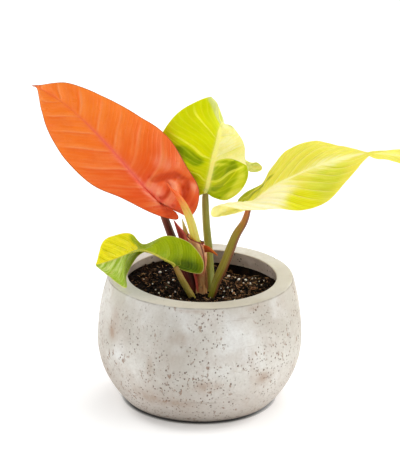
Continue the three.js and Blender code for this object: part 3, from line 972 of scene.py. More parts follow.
def makeFibres():
    # thin bent straws, each a three-sided prism of five rings
    rng = random.Random(33)
    points, faces = [], []
    rings = 5
    for _ in range(soil["fibres"]):
        x, y = soilSpot(rng, 6, 1)
        length, thick = rng.uniform(3, 10), rng.uniform(0.12, 0.3)
        heading, bend = rng.uniform(0, 2 * math.pi), rng.uniform(-1.2, 1.2)
        rise = rng.uniform(-0.1, 0.25)
        path = []
        for i in range(rings):
            angle = heading + bend * i / (rings - 1)
            x += math.cos(angle) * length / rings
            y += math.sin(angle) * length / rings
            path.append((x, y, rise * i + 0.7 + 0.4 * math.sin(i * 1.7 + heading)))
        ground = heightsAt(path)
        first = len(points)
        for i, (px, py, lift) in enumerate(path):
            angle = heading + bend * i / (rings - 1) + math.pi / 2
            taper = thick * (0.5 if i in (0, rings - 1) else 1)
            for j in range(3):
                spin = 2 * math.pi * j / 3
                points.append((
                    (px + math.cos(angle) * math.cos(spin) * taper) * mm,
                    (py + math.sin(angle) * math.cos(spin) * taper) * mm,
                    (ground[i] + lift + math.sin(spin) * taper) * mm,
                ))
        for i in range(rings - 1):
            for j in range(3):
                a, b = first + 3 * i + j, first + 3 * i + (j + 1) % 3
                faces.append((a, a + 3, b + 3, b))
        faces.append((first, first + 1, first + 2))
        last = first + 3 * (rings - 1)
        faces.append((last + 2, last + 1, last))
    piece = newPiece("soil_fibres", points, faces, strawFibre())
    active(piece)
    bpy.ops.object.mode_set(mode="EDIT")
    closeOutward()
    smoothShaded(piece)
    finished(piece, "bark")


# the clearest grains and chips, which are solids of their own: size
grains = {
    "perlite_1": 1.3, "perlite_2": 1.1, "perlite_3": 1.2, "perlite_4": 1.2, "perlite_5": 1.5,
    "perlite_6": 1.4,
}
chips = {"bark_chip_1": 3.0, "bark_chip_2": 2.4}
# smaller white specks whose places show: x, y and size
specks = [
    (-42, -2, 0.8), (-30, -6, 0.9), (-22, -14, 0.9), (-50, 10, 0.7), (-14, 22, 0.6), (46, 20, 0.8),
    (52, 12, 0.8),
    (38, 9, 0.9), (31, 24, 0.7), (24, -2, 0.9), (28, -8, 0.8), (44, 2, 0.9), (20, -28, 0.9),
    (30, -36, 0.8),
    (-8, -40, 0.8), (-26, -30, 1.0), (-17, -33, 0.8), (6, 30, 0.7), (49, 25, 0.7), (36, -11.5, 0.9),
    (21, -9.5, 0.9),
    (28, -11, 0.8), (-39, -16.5, 0.8), (-36, -24, 0.9), (-26, -25, 0.9), (56, 13.5, 0.8),
    (54, 4, 0.8), (44, 6.5, 0.9),
    (-31, 31, 0.7), (18, -3.5, 0.7),
]


def makePerlite():
    rng = random.Random(5)
    material = perliteWhite()
    for number, (name, size) in enumerate(grains.items()):
        piece = roughBall(name + "_grain", 3, 0.3, 70 + number)
        setGrain(piece, name, size, (1.05, 0.85, 0.95), number, material, "perlite")
    kinds = [roughBall(f"perliteKind{i}", 2, 0.3, 90 + i) for i in range(3)]
    spots = list(specks)
    while len(spots) < soil["perlite"]:
        x, y = soilSpot(rng, 4, 1)
        spots.append((x, y, rng.uniform(0.35, 0.8)))
    heights = heightsAt(spots)
    places = [
        (
            rng.randrange(3), (x * mm, y * mm, (z + 0.75) * mm), size * mm, anyTurn(rng),
            (1, rng.uniform(0.7, 1), 0.9)
        )
        for (x, y, size), z in zip(spots, heights)
    ]
    scattered("perlite_specks", kinds, places, material, "perlite")


def barkPiece(name, seed):
    # a flaky splinter of bark of length 2
    deselectAll()
    bpy.ops.mesh.primitive_cube_add(size=1)
    piece = started(name)
    bpy.ops.object.mode_set(mode="EDIT")
    bpy.ops.mesh.select_all(action="SELECT")
    bpy.ops.transform.resize(value=(2.0, 1.1, 0.42))
    bpy.ops.mesh.subdivide(number_cuts=3)
    bpy.ops.object.mode_set(mode="OBJECT")
    points = coordinates(piece.data)
    points += np.stack([0.22 * softNoise(points, 0.6, seed + k) for k in range(3)], 1)
    points[:, 1] *= 1 - 0.35 * np.abs(points[:, 0])
    putCoordinates(piece.data, points)
    return piece


def makeBark():
    rng = random.Random(8)
    material = barkBrown()
    for number, (name, size) in enumerate(chips.items()):
        piece = barkPiece(name + "_splinter", 40 + number)
        setGrain(piece, name, size, (1, 1, 1), 0.5 + number, material, "bark", 40)
    kinds = [barkPiece(f"barkKind{i}", 60 + 4 * i) for i in range(3)]
    spots = [soilSpot(rng, 5, 1) for _ in range(soil["chips"])]
    heights = heightsAt(spots)
    places = [
        (
            rng.randrange(3), (x * mm, y * mm, (z + 0.5) * mm), rng.uniform(0.6, 1.7) * mm,
            anyTurn(rng, 0.6), (1, rng.uniform(0.5, 1), 1)
        )
        for (x, y), z in zip(spots, heights)
    ]
    scattered("bark_flakes", kinds, places, material, "bark", False)


makeSoil()
makeCrumbs()
makeFibres()
makePerlite()
makeBark()
print("the soil is ready")


def shapedGrid(name, across, along, place):
    # a grid whose points are put in place by place(u, v): u runs along from 0 to 1, v across from
    # -1 to 1
    deselectAll()
    bpy.ops.mesh.primitive_grid_add(
        x_subdivisions=across, y_subdivisions=along, size=2, calc_uvs=True
    )
    piece = started(name)
    flat = coordinates(piece.data)
    u, v = (flat[:, 1] + 1) / 2, flat[:, 0]
    putCoordinates(piece.data, place(u, v) * mm)
    return piece, u, v


def stalkPlace(points, radii, seed, groove=0.0, grooveAngle=0.0, uneven=0.05):
    # places of a stalk's skin; the groove runs along the side that grooveAngle gives
    def place(u, v):
        s = u * (len(points) - 1)
        centre = curvePoint(points, s)
        radius = curvePoint([[r, 0, 0] for r in radii], s)[:, 0]
        tangent = curveTangent(points, s)
        side = unit(np.cross(np.array([[0.0, 1.0, 0.12]]), tangent))
        other = np.cross(tangent, side)
        angle = v * math.pi
        offAngle = np.abs((angle - math.radians(grooveAngle) + math.pi) % (2 * math.pi) - math.pi)
        radius = radius * (1 - groove * np.exp(-((offAngle / 0.45) ** 2)))
        across, over = np.cos(angle), np.sin(angle)
        wave = np.stack([across * 0.6, over * 0.6, u * len(points) * 0.7], 1)
        radius = radius * (1 + uneven * softNoise(wave, 1.0, seed))
        return centre + side * (radius * across)[:, None] + other * (radius * over)[:, None]
    return place


def rolled(piece, u, v, material):
    # closes a rolled grid into a skin with both ends filled
    attribute(piece.data, "along", u)
    attribute(piece.data, "around", np.abs(v))
    attribute(piece.data, "turn", np.sin(v * math.pi))
    attribute(piece.data, "turnToo", np.cos(v * math.pi))
    piece.data.materials.append(material)
    active(piece)
    bpy.ops.object.mode_set(mode="EDIT")
    bpy.ops.mesh.select_mode(type="VERT")
    bpy.ops.mesh.select_all(action="SELECT")
    bpy.ops.mesh.remove_doubles(threshold=1e-6)
    bpy.ops.mesh.select_all(action="DESELECT")
    bpy.ops.mesh.select_non_manifold()
    bpy.ops.mesh.fill_holes(sides=0)
    closeOutward()
    smoothShaded(piece)


def stalkSkin(name, low, middle, high, sideTint, sideShare, edge=None):
    # a fresh leaf stalk: three tints from foot to top, with one side in another tint, an optional
    # painted highlight down the other side, and fine lengthwise fibres
    s = Shader(
        name,
        **{
            "Subsurface Weight": 0.1, "Subsurface Scale": 0.003, "Specular IOR Level": 0.3,
            "Coat Weight": 0.05
        }
    )
    along = s.read("along")
    s.color = s.mix(s.ramp(along, 0.15, 0.55), low, middle)
    s.over(s.ramp(along, 0.6, 1.0), high)
    s.over(s.times(s.ramp(s.read("turnToo"), -0.15, 0.75), sideShare), sideTint)
    # painted highlight: the edge tint is a pale strip down one side of the stalk
    if edge is not None:
        s.over(s.times(s.ramp(s.read("turnToo"), -0.5, -0.9), 0.55), edge)
    lines = s.fibres(5.0, s.times(along, 2.2), 1.6, 4)
    mottle = s.noise(180, 3, 0.5)
    s.over(s.ramp(lines, 0.35, 0.7, 0.0, 0.24), s.mix(0.5, s.color, (0.9, 0.85, 0.5)))
    s.over(s.ramp(mottle, 0.45, 0.75, 0, 0.16), s.mix(0.5, s.color, (0.05, 0.02, 0.01)))
    relief = s.bump(lines, 0.0005, 0.35, s.bump(mottle, 0.0002, 0.3))
    return s.finish(s.ramp(mottle, 0.3, 0.7, 0.32, 0.46), relief)


stalks = {
    "red_leaf_petiole": {
        "points": [
            [-4, -7.5, 84], [-6.4, -6.5, 100], [-11.4, -3.2, 116], [-17, -0.6, 130], [-25, 2, 146],
            [-32.5, 4.6, 165], [-36.6, 3.6, 177.0]
        ],
        "radii": [2.6, 4.3, 5.2, 4.4, 3.7, 3.4, 2.4],
        "groove": 0.1, "grooveAngle": 20, "slot": "red_stalk",
        "skin": {"low": rgb(116, 0, 26), "middle": rgb(102, 26, 26), "high": rgb(128, 48, 38),
                 "sideTint": rgb(50, 10, 14), "sideShare": 0.6},
    },
    "centre_leaf_petiole": {
        "points": [
            [5, -5, 84], [9, -3, 104], [8.2, 0, 116], [6.8, 4, 134], [4.4, 9.4, 155],
            [3, 13.6, 177], [3.2, 14.2, 186.5]
        ],
        "radii": [2.4, 3.8, 3.8, 3.6, 3.3, 3.1, 2.3],
        "groove": 0.12, "grooveAngle": -60, "slot": "green_stalk",
        # its edge tint is a painted highlight down the stalk's left side
        "skin": {"low": rgb(168, 178, 92), "middle": rgb(158, 158, 56), "high": rgb(160, 136, 78),
                 "sideTint": rgb(108, 112, 22), "sideShare": 0.45, "edge": rgb(222, 220, 150)},
    },
    "right_leaf_petiole": {
        "points": [
            [4, -11, 84], [10, -20, 101], [14, -18, 114], [19.8, -16, 127], [29.6, -12, 153],
            [37, -9.5, 166], [40.8, -7.6, 178.0]
        ],
        "radii": [2.3, 3.2, 3.8, 4.3, 3.9, 3.1, 2.3],
        "groove": 0.1, "grooveAngle": 30, "slot": "bronze_stalk",
        "skin": {"low": rgb(136, 134, 4), "middle": rgb(146, 132, 16), "high": rgb(190, 110, 56),
                 "sideTint": rgb(112, 44, 28), "sideShare": 0.95},
    },
    "front_leaf_petiole": {
        "points": [
            [-2, -13, 84], [-6.5, -24, 100], [-12.6, -27, 112], [-17, -29.5, 121],
            [-21.8, -30.6, 131.6]
        ],
        "radii": [2, 2.9, 2.9, 2.8, 2.1],
        "groove": 0.1, "grooveAngle": 90, "slot": "green_stalk",
        "skin": {"low": rgb(174, 160, 68), "middle": rgb(172, 156, 72), "high": rgb(172, 132, 66),
                 "sideTint": rgb(124, 100, 26), "sideShare": 0.5},
    },
}


def makeStalks():
    for number, (name, stalk) in enumerate(stalks.items()):
        place = stalkPlace(
            stalk["points"], stalk["radii"], 3 + number, groove=stalk["groove"],
            grooveAngle=stalk["grooveAngle"]
        )
        piece, u, v = shapedGrid(name + "_skin", 32, 110, place)
        rolled(piece, u, v, stalkSkin(name + "Skin", **stalk["skin"]))
        finished(piece, stalk["slot"], name)


stem = {
    "points": [
        [0.7, -8, 72], [1.0, -8, 90], [0.7, -8.4, 101], [0.6, -8.4, 112], [0.5, -8.6, 120],
        [0.5, -8.6, 128]
    ],
    "radii": [4.4, 5.0, 5.2, 4.3, 4.0, 3.6],
}


def stemSkin():
    s = Shader("stemSkin", **{"Subsurface Weight": 0.08, "Subsurface Scale": 0.003})
    along = s.read("along")
    lines = s.fibres(6.0, s.times(along, 3.0), 1.5, roughness=0.7)
    s.color = s.mix(s.ramp(lines, 0.35, 0.68), rgb(196, 130, 76), rgb(248, 210, 156))
    s.over(s.ramp(along, 0.62, 0.85, 0, 0.75), rgb(226, 138, 112))
    s.over(s.ramp(s.noise(120, 4, 0.7), 0.55, 0.72, 0, 0.6), rgb(120, 72, 46))
    relief = s.bump(lines, 0.0011, 0.7, s.bump(s.noise(400, 3), 0.0002, 0.5))
    return s.finish(s.ramp(lines, 0.3, 0.7, 0.45, 0.75), relief)


def makeStem():
    # the stem above the soil; its foot and roots stay below the surface
    place = stalkPlace(stem["points"], stem["radii"], 9, uneven=0.14)
    piece, u, v = shapedGrid("stem_skin", 36, 90, place)
    rolled(piece, u, v, stemSkin())
    finished(piece, "stem")


makeStalks()
makeStem()
print("stem and stalks are ready")


def stationLine(blade, which):
    return np.array([station[which] for station in blade["stations"]], float)


def bladePoint(blade, s, v):
    # place on the blade at station number s and share v of the half width, left below 0
    rib, left, right = (stationLine(blade, which) for which in range(3))
    middle = curvePoint(rib, s)
    isLeft = (v < 0)[:, None]
    margin = np.where(isLeft, curvePoint(left, s), curvePoint(right, s))
    marginTangent = np.where(isLeft, curveTangent(left, s), curveTangent(right, s))
    across = margin - middle
    width = np.linalg.norm(across, axis=1)
    half = np.abs(v)
    along = unit(0.4 * curveTangent(rib, s) + 0.6 * marginTangent)
    up = unit(np.cross(along, across)) * np.where(v < 0, 1, -1)[:, None]
    arch = 4 * half * (1 - half) * blade.get("crown", 0.07) * width
    return middle + across * half[:, None] + up * arch[:, None]


def bladeTop(blade, s, v, step=0.02):
    # direction of the blade's upper side
    last = len(blade["stations"]) - 1
    along = (
        bladePoint(blade, np.minimum(s + step, last), v)
        - bladePoint(blade, np.maximum(s - step, 0), v)
    )
    across = (
        bladePoint(blade, s, np.minimum(v + step, 1))
        - bladePoint(blade, s, np.maximum(v - step, -1))
    )
    return unit(np.cross(across, along)) * (-1 if blade.get("flip") else 1)


def bladeRows(blade):
    # even rows along the blade: share of its length, station number and length of the rib so far
    last = len(blade["stations"]) - 1
    s = np.linspace(0, last, 40 * last + 1)
    steps = [
        np.linalg.norm(np.diff(bladePoint(blade, s, np.full(len(s), v)), axis=0), axis=1)
        for v in (-1, -0.5, 0, 0.5, 1)
    ]
    run = np.concatenate([[0], np.cumsum(np.mean(steps, axis=0))])
    ribRun = np.concatenate([[0], np.cumsum(steps[2])])
    return run / run[-1], s, ribRun


def bladeFeatures(blade, s, v):
    # vein number, distances in mm and relief of every point of the blade
    _, stations, ribRun = bladeRows(blade)
    rib, left, right = (curvePoint(stationLine(blade, which), s) for which in range(3))
    leftWidth = np.linalg.norm(left - rib, axis=1)
    rightWidth = np.linalg.norm(right - rib, axis=1)
    width = np.where(v < 0, leftWidth, rightWidth)
    half = np.abs(v)
    run = np.interp(s, stations, ribRun)
    flat = np.stack([s * 1.3, v * 2.2, 0 * s], 1)
    lead = blade.get("lead", 0.9) * (0.5 * width + 0.25 * (leftWidth + rightWidth))
    spacing = blade.get("spacing", 13)
    phase = (run - lead * half ** blade.get("bend", 1.25)) / spacing + blade.get("first", 0.12)
    phase += (
        blade.get("stray", 0.2) * softNoise(flat, 1.6, blade["seed"]) * smooth(0.02, 0.25, half)
    )
    off = phase - np.round(phase)
    between = 0.5 - 0.5 * np.cos(2 * np.pi * phase)
    window = smooth(0.03, 0.22, half) * (1 - 0.65 * smooth(0.72, 1, half)) * smooth(2, 14, width)
    taper = 1 - 0.75 * run / ribRun[-1]
    relief = blade.get("quilt", 0) * (between**0.7 - 0.5) * window
    relief -= blade.get("groove", 0) * np.exp(-((off * spacing / 1.0) ** 2)) * window
    ribDistance = half * width
    ribWidth = blade["ribWidth"] * (0.35 + 0.65 * taper)
    relief += blade.get("midrib", 0) * taper * np.exp(-((ribDistance / ribWidth) ** 2))
    waves = softNoise(np.stack([run / 16, np.sign(v), 0 * s], 1), 1.0, blade["seed"] + 20)
    relief += blade["wave"] * waves * half**3 * smooth(2, 14, width)
    relief += (
        0.22 * softNoise(np.stack([run / 5, v * 3.4, 0 * s], 1), 1.0, blade["seed"] + 40) * window
    )
    for path, spanS, spanV, height in blade.get("folds", []):
        relief += height * streak(s, v, path, spanS, spanV)
    for centreS, centreV, spanS, spanV, height in blade.get("bumps", []):
        relief += height * np.exp(-(((s - centreS) / spanS) ** 2) - ((v - centreV) / spanV) ** 2)
    return {
        "veinPhase": phase,
        "half": half,
        "side": v,
        "ribDistance": ribDistance / np.maximum(ribWidth, 0.2),
        "edgeDistance": (1 - half) * width,
        "lengthwise": run / ribRun[-1],
        "relief": relief * smooth(0, 6, width),
        "taper": taper,
        "width": width,
    }


def makeBlade(name, blade, skins, slot):
    # the upper side is laid out from its stations, then given thickness with the underside as the
    # second skin
    share, stations, _ = bladeRows(blade)

    def place(u, v):
        s = np.interp(u, share, stations)
        return (
            bladePoint(blade, s, v)
            + bladeTop(blade, s, v) * bladeFeatures(blade, s, v)["relief"][:, None]
        )

    piece, u, v = shapedGrid(name + "_skin", blade["across"], blade["along"], place)
    s = np.interp(u, share, stations)
    features = bladeFeatures(blade, s, v)
    for key in ("veinPhase", "half", "side", "ribDistance", "edgeDistance", "lengthwise"):
        attribute(piece.data, key, features[key])
    for key, (mask, *_) in blade.get("patches", {}).items():
        attribute(piece.data, key, mask(s, v, features))
    lamina, ribThick = blade["lamina"], blade["ribThick"]
    ribShape = (
        np.exp(-((features["ribDistance"] / 1.1) ** 2)) * features["taper"]
        * smooth(0.5, 5, features["width"] + features["taper"] * 3)
    )
    thick = (
        lamina * (1 - 0.5 * smooth(2.5, 0, features["edgeDistance"]))
        + (ribThick - lamina) * ribShape
    )
    group = piece.vertex_groups.new(name="thickness")
    for i, value in enumerate(thick / ribThick):
        group.add([i], float(value), "REPLACE")
    if blade.get("flip"):
        active(piece)
        bpy.ops.object.mode_set(mode="EDIT")
        bpy.ops.mesh.select_all(action="SELECT")
        bpy.ops.mesh.flip_normals()
        bpy.ops.object.mode_set(mode="OBJECT")
    for skin in skins:
        piece.data.materials.append(skin)
    applyModifier(
        piece, "SOLIDIFY", thickness=ribThick * mm, offset=-1, vertex_group="thickness",
        material_offset=len(skins) - 1, material_offset_rim=0,
    )
    piece.vertex_groups.clear()
    smoothShaded(piece, 60)
    finished(piece, slot, name)


def leafSkin(name, look, patches, under=False):
    # upper or lower side of a leaf: two streaky tones, patches, veins with painted shade and
    # painted highlight beside them, midrib and margin
    s = Shader(name, **{
        "Subsurface Weight": look["glow"],
        "Subsurface Scale": 0.003,
        "Subsurface Radius": (1.0, 0.6, 0.2),
        "Specular IOR Level": look.get("shine", 0.28),
        "Coat Weight": 0.0 if under else look["coat"],
        "Coat Roughness": 0.18,
    })
    phase, half, side = s.read("veinPhase"), s.read("half"), s.read("side")
    ribDistance, edgeDistance = s.read("ribDistance"), s.read("edgeDistance")
    alongVein = s.vector(
        s.times(phase, 3.1), s.times(half, 1.5), s.times(s.math("SIGN", side), 4.0)
    )
    streaks = s.noise(1.0, 5, 0.6, alongVein)
    fineStreaks = s.noise(5.5, 4, 0.65, alongVein)
    tissue = s.cells(620, feature="DISTANCE_TO_EDGE")
    mottle = s.noise(95, 4, 0.6)
    broad = s.noise(22, 2, 0.5)
    between = s.math("MULTIPLY_ADD", s.math("COSINE", s.times(phase, 2 * math.pi)), -0.5)
    between.node.inputs[2].default_value = 0.5
    tip, base = look["tones"]
    s.color = s.mix(s.ramp(s.read("lengthwise"), 0.12, 0.7), base, tip)
    s.over(s.times(s.ramp(streaks, 0.42, 0.68), look["streakShare"]), look["light"])
    s.over(s.times(s.ramp(between, 0.25, 0.85), look["bandShare"]), look["deep"])
    s.over(s.ramp(broad, 0.42, 0.7, 0, 0.25), look["deep"])
    for key, (_, tone, light, share, soft, ragged) in patches.items():
        wobble = s.times(s.minus(streaks, 0.5), ragged)
        wobble = s.plus(wobble, s.times(s.minus(fineStreaks, 0.5), 0.5 * ragged))
        mask = s.ramp(s.plus(s.read(key), wobble), 0.5 - soft, 0.5 + soft, 0, share)
        s.over(mask, s.mix(s.ramp(streaks, 0.4, 0.65), tone, light))
    # painted shade and painted highlight: beside each vein one side is darkened and the other
    # lightened, as light would fall on the quilted blade
    signed = s.minus(phase, s.math("ROUND", phase))
    beside = s.times(signed, s.math("SIGN", side))
    within = s.times(s.ramp(half, 0.0, 0.14), s.ramp(half, 0.7, 1.0, 1, 0.25))
    dark = s.times(s.ramp(beside, 0.0, 0.05), s.ramp(beside, 0.05, 0.42, 1, 0))
    bright = s.times(s.ramp(beside, 0.01, -0.03), s.ramp(beside, -0.03, -0.3, 1, 0))
    which = s.vector(
        s.times(s.math("ROUND", phase), 1.73), s.times(s.math("SIGN", side), 2.9),
        s.times(half, 0.9)
    )
    strength = s.times(s.ramp(s.noise(1.0, 2, 0.5, which), 0.34, 0.62, 0.15, 1), within)
    dark, bright = s.times(dark, strength), s.times(bright, strength)
    shaded = s.mix(1.0, s.color, look.get("shade", (0.8, 0.8, 0.55)), "MULTIPLY")
    s.over(s.times(dark, look.get("veinShadeShare", 0.3)), shaded)
    s.over(s.times(bright, look.get("veinHighlightShare", 0.25)), look["light"])
    off = s.math("ABSOLUTE", signed)
    veinWidth = look.get("veinWidth", 0.025)
    vein = s.times(s.ramp(off, veinWidth, veinWidth * 2.6, 1, 0), s.ramp(half, 0.6, 0.97, 1, 0.15))
    vein = s.times(vein, s.ramp(strength, 0.1, 0.9, 0.4, 1))
    thinPhase = s.times(phase, 5.0)
    thinOff = s.math("ABSOLUTE", s.minus(thinPhase, s.math("ROUND", thinPhase)))
    thin = s.ramp(thinOff, 0.04, 0.2, 1, 0)
    s.over(s.times(vein, look["veinShare"]), look["vein"])
    s.over(s.times(thin, look.get("thinShare", 0.12)), look["vein"])
    rib = s.ramp(ribDistance, look.get("ribIn", 0.45), look.get("ribOut", 0.85), 1, 0)
    halo = s.ramp(ribDistance, 0.6, look["haloWidth"], 1, 0)
    fade = s.ramp(
        s.read("lengthwise"), look.get("ribFade", 0.8), look.get("ribFade", 0.8) + 0.3, 1, 0.2
    )
    s.over(s.times(s.times(halo, fade), look["haloShare"]), look["rib"])
    s.over(s.times(s.times(rib, fade), look.get("ribShare", 0.85)), look["rib"])
    s.over(s.ramp(mottle, 0.45, 0.72, 0, 0.14), look["deep"])
    s.over(s.ramp(tissue, 0.0, 0.16, 0.09, 0), look["deep"])
    edgeWidth = look.get("edgeWidth", 0.8)
    s.over(s.ramp(edgeDistance, 0.3 * edgeWidth, edgeWidth, look["edgeShare"], 0), look["edge"])
    if under:
        s.over(0.38, look["under"])
    relief = s.bump(tissue, 0.00018, 0.35)
    relief = s.bump(s.minus(1.0, thin), 0.00022, 0.5, relief)
    relief = s.bump(s.minus(1.0, vein) if not under else vein, 0.0004, 0.6, relief)
    relief = s.bump(fineStreaks, 0.0005, 0.4, relief)
    low, high = (0.5, 0.68) if under else look["gloss"]
    return s.finish(s.ramp(mottle, 0.3, 0.7, low, high), relief)


def blob(s, v, centreS, centreV, spanS, spanV):
    return np.exp(-(((s - centreS) / spanS) ** 2) - ((v - centreV) / spanV) ** 2)


def streak(s, v, path, spanS, spanV):
    # 1 on a line through stations and shares of the half width, fading over the spans
    scale = np.array([spanS, spanV])
    here, path = np.stack([s, v], 1) / scale, np.array(path) / scale
    nearest = np.full(len(s), 9.0)
    for start, end in zip(path[:-1], path[1:]):
        step = end - start
        share = np.clip((here - start) @ step / (step @ step), 0, 1)
        nearest = np.minimum(nearest, np.linalg.norm(here - start - share[:, None] * step, axis=1))
    return np.exp(-(nearest**2))


redBlade = {
    "across": 100, "along": 190, "seed": 3,
    "spacing": 21, "first": 0.0, "lead": 0.98, "bend": 1.0, "stray": 0.12, "quilt": 0.8,
    "groove": 0.1, "midrib": -0.4, "ribWidth": 1.6,
    "wave": 0.9, "lamina": 0.6, "ribThick": 2.5,
    "stations": [
        [[-36, 1, 176], [-34, -2, 175], [-33.5, 0, 175.5]],
        [[-38, 1, 178], [-22, -7.6, 172.6], [-24, 0, 174.5]],
        [[-41, 2, 181], [-21, -10, 167.6], [-12, -2, 167]],
        [[-45, 3, 186], [-32, -10, 169], [-4, 2, 175]],
        [[-52, 5, 193], [-47, -8, 174], [-3, 8, 191]],
        [[-63, 9, 205], [-70, -3, 184], [-13, 15, 207]],
        [[-76, 13, 219], [-96, 2, 194], [-31, 22, 233]],
        [[-92, 18, 235], [-119, 9, 214], [-57, 27, 250]],
        [[-111, 24, 252], [-134, 18, 235], [-88, 31, 266]],
        [[-129, 31, 264], [-142, 28, 256], [-119, 35, 276]],
        [[-144, 39, 270], [-145.5, 39, 268.5], [-143, 39, 272.5]],
        [[-150, 41, 271], [-150, 41, 270.7], [-150, 41, 271.4]],
    ],
    # a line of stations and shares of the half width, its spans and the height in mm
    "folds": [
        ([(4.45, 0.24), (4.58, 0.48), (4.66, 0.72), (4.45, 0.82), (3.92, 0.76)], 0.2, 0.1, -2.4),
        ([(2.75, 0.16), (3.3, 0.35), (3.7, 0.42), (4.0, 0.5)], 0.3, 0.05, -1.6),
        ([(3.4, 0.56), (4.1, 0.56), (4.25, 0.62)], 0.3, 0.06, 1.8),
        ([(3.2, 0.7), (3.9, 0.68), (4.3, 0.64)], 0.25, 0.05, -1.8),
    ],
    # station, share of the half width, their spans and the height in mm
    "bumps": [
        (2.6, 0.75, 0.3, 0.08, 1.6), (2.4, 0.5, 0.2, 0.07, -1.4), (3.7, 0.88, 0.4, 0.07, 1.4),
        (3.3, 0.22, 0.4, 0.1, 0.8),
        (4.1, 0.3, 0.3, 0.12, 0.9), (2.1, 0.3, 0.2, 0.08, 1.0), (5.2, 0.75, 0.4, 0.12, 1.0),
        (6.2, -0.5, 0.3, 0.4, 0.8),
    ],
    # patches: where they lie, two tones, share, softness of the border and raggedness
    "patches": {
        "pinkBase": (
            lambda s, v, f: smooth(5.2, 2.2, s) * (0.35 + 0.75 * smooth(0.75, 0.05, f["half"]))
            + 0.6 * np.exp(-((f["ribDistance"] / 3.2) ** 2)) * smooth(9.5, 4, s),
            rgb(246, 124, 104), rgb(255, 164, 136), 0.75, 0.4, 0.5,
        ),
        # painted highlight: the crumpled bulges near the base are painted lighter
        "bulgeHighlight": (
            lambda s, v, f: 0.9 * blob(s, v, 3.6, 0.2, 0.8, 0.16)
            + 1.1 * blob(s, v, 4.1, 0.54, 0.36, 0.1) + 0.8 * blob(s, v, 4.1, 0.9, 0.3, 0.07)
            + 0.7 * blob(s, v, 5.2, 0.62, 0.4, 0.2) + 0.9 * blob(s, v, 3.4, -0.24, 0.9, 0.14),
            rgb(254, 152, 118), rgb(255, 176, 142), 0.8, 0.4, 0.4,
        ),
        # painted shade: the folds near the base and the lower left lobe are painted darker
        "foldShade": (
            lambda s, v, f: 1.15
            * streak(
                s, v,
                [(4.4, 0.26), (4.58, 0.48), (4.68, 0.72), (4.45, 0.82), (3.9, 0.76), (3.3, 0.72)],
                0.2, 0.09
            )
            + 0.9 * streak(s, v, [(2.75, 0.2), (3.3, 0.36), (3.7, 0.43), (4.1, 0.48)], 0.25, 0.045)
            + 0.7 * blob(s, v, 3.0, 0.9, 0.5, 0.14)
            + 0.9 * smooth(3.3, 2.5, s) * smooth(-0.08, -0.3, v),
            rgb(194, 66, 14), rgb(216, 84, 32), 0.8, 0.4, 0.35,
        ),
    },
    "look": {
        "tones": (rgb(250, 138, 46), rgb(234, 99, 38)),
        "light": rgb(250, 152, 88), "deep": rgb(222, 86, 28), "vein": rgb(252, 166, 116),
        "rib": rgb(240, 116, 94), "edge": rgb(120, 40, 36), "under": rgb(176, 50, 28),
        "veinShare": 0.3, "veinWidth": 0.035, "veinShadeShare": 0.62, "veinHighlightShare": 0.4,
        "shade": (0.88, 0.64, 0.58), "thinShare": 0.05, "haloShare": 0.34, "haloWidth": 3.4,
        "ribIn": 0.3, "ribOut": 1.1, "ribShare": 0.7,
        "bandShare": 0.12, "streakShare": 0.4, "edgeShare": 0.75,
        "glow": 0.18, "coat": 0.1, "gloss": (0.27, 0.4), "ribFade": 0.45,
    },
}


def lobeBorder(v):
    # station at which the right lobe turns from green to cream
    return np.interp(
        v, [0, 0.08, 0.24, 0.41, 0.61, 0.81, 1], [4.5, 4.62, 4.8, 4.86, 4.84, 4.72, 4.56]
    )


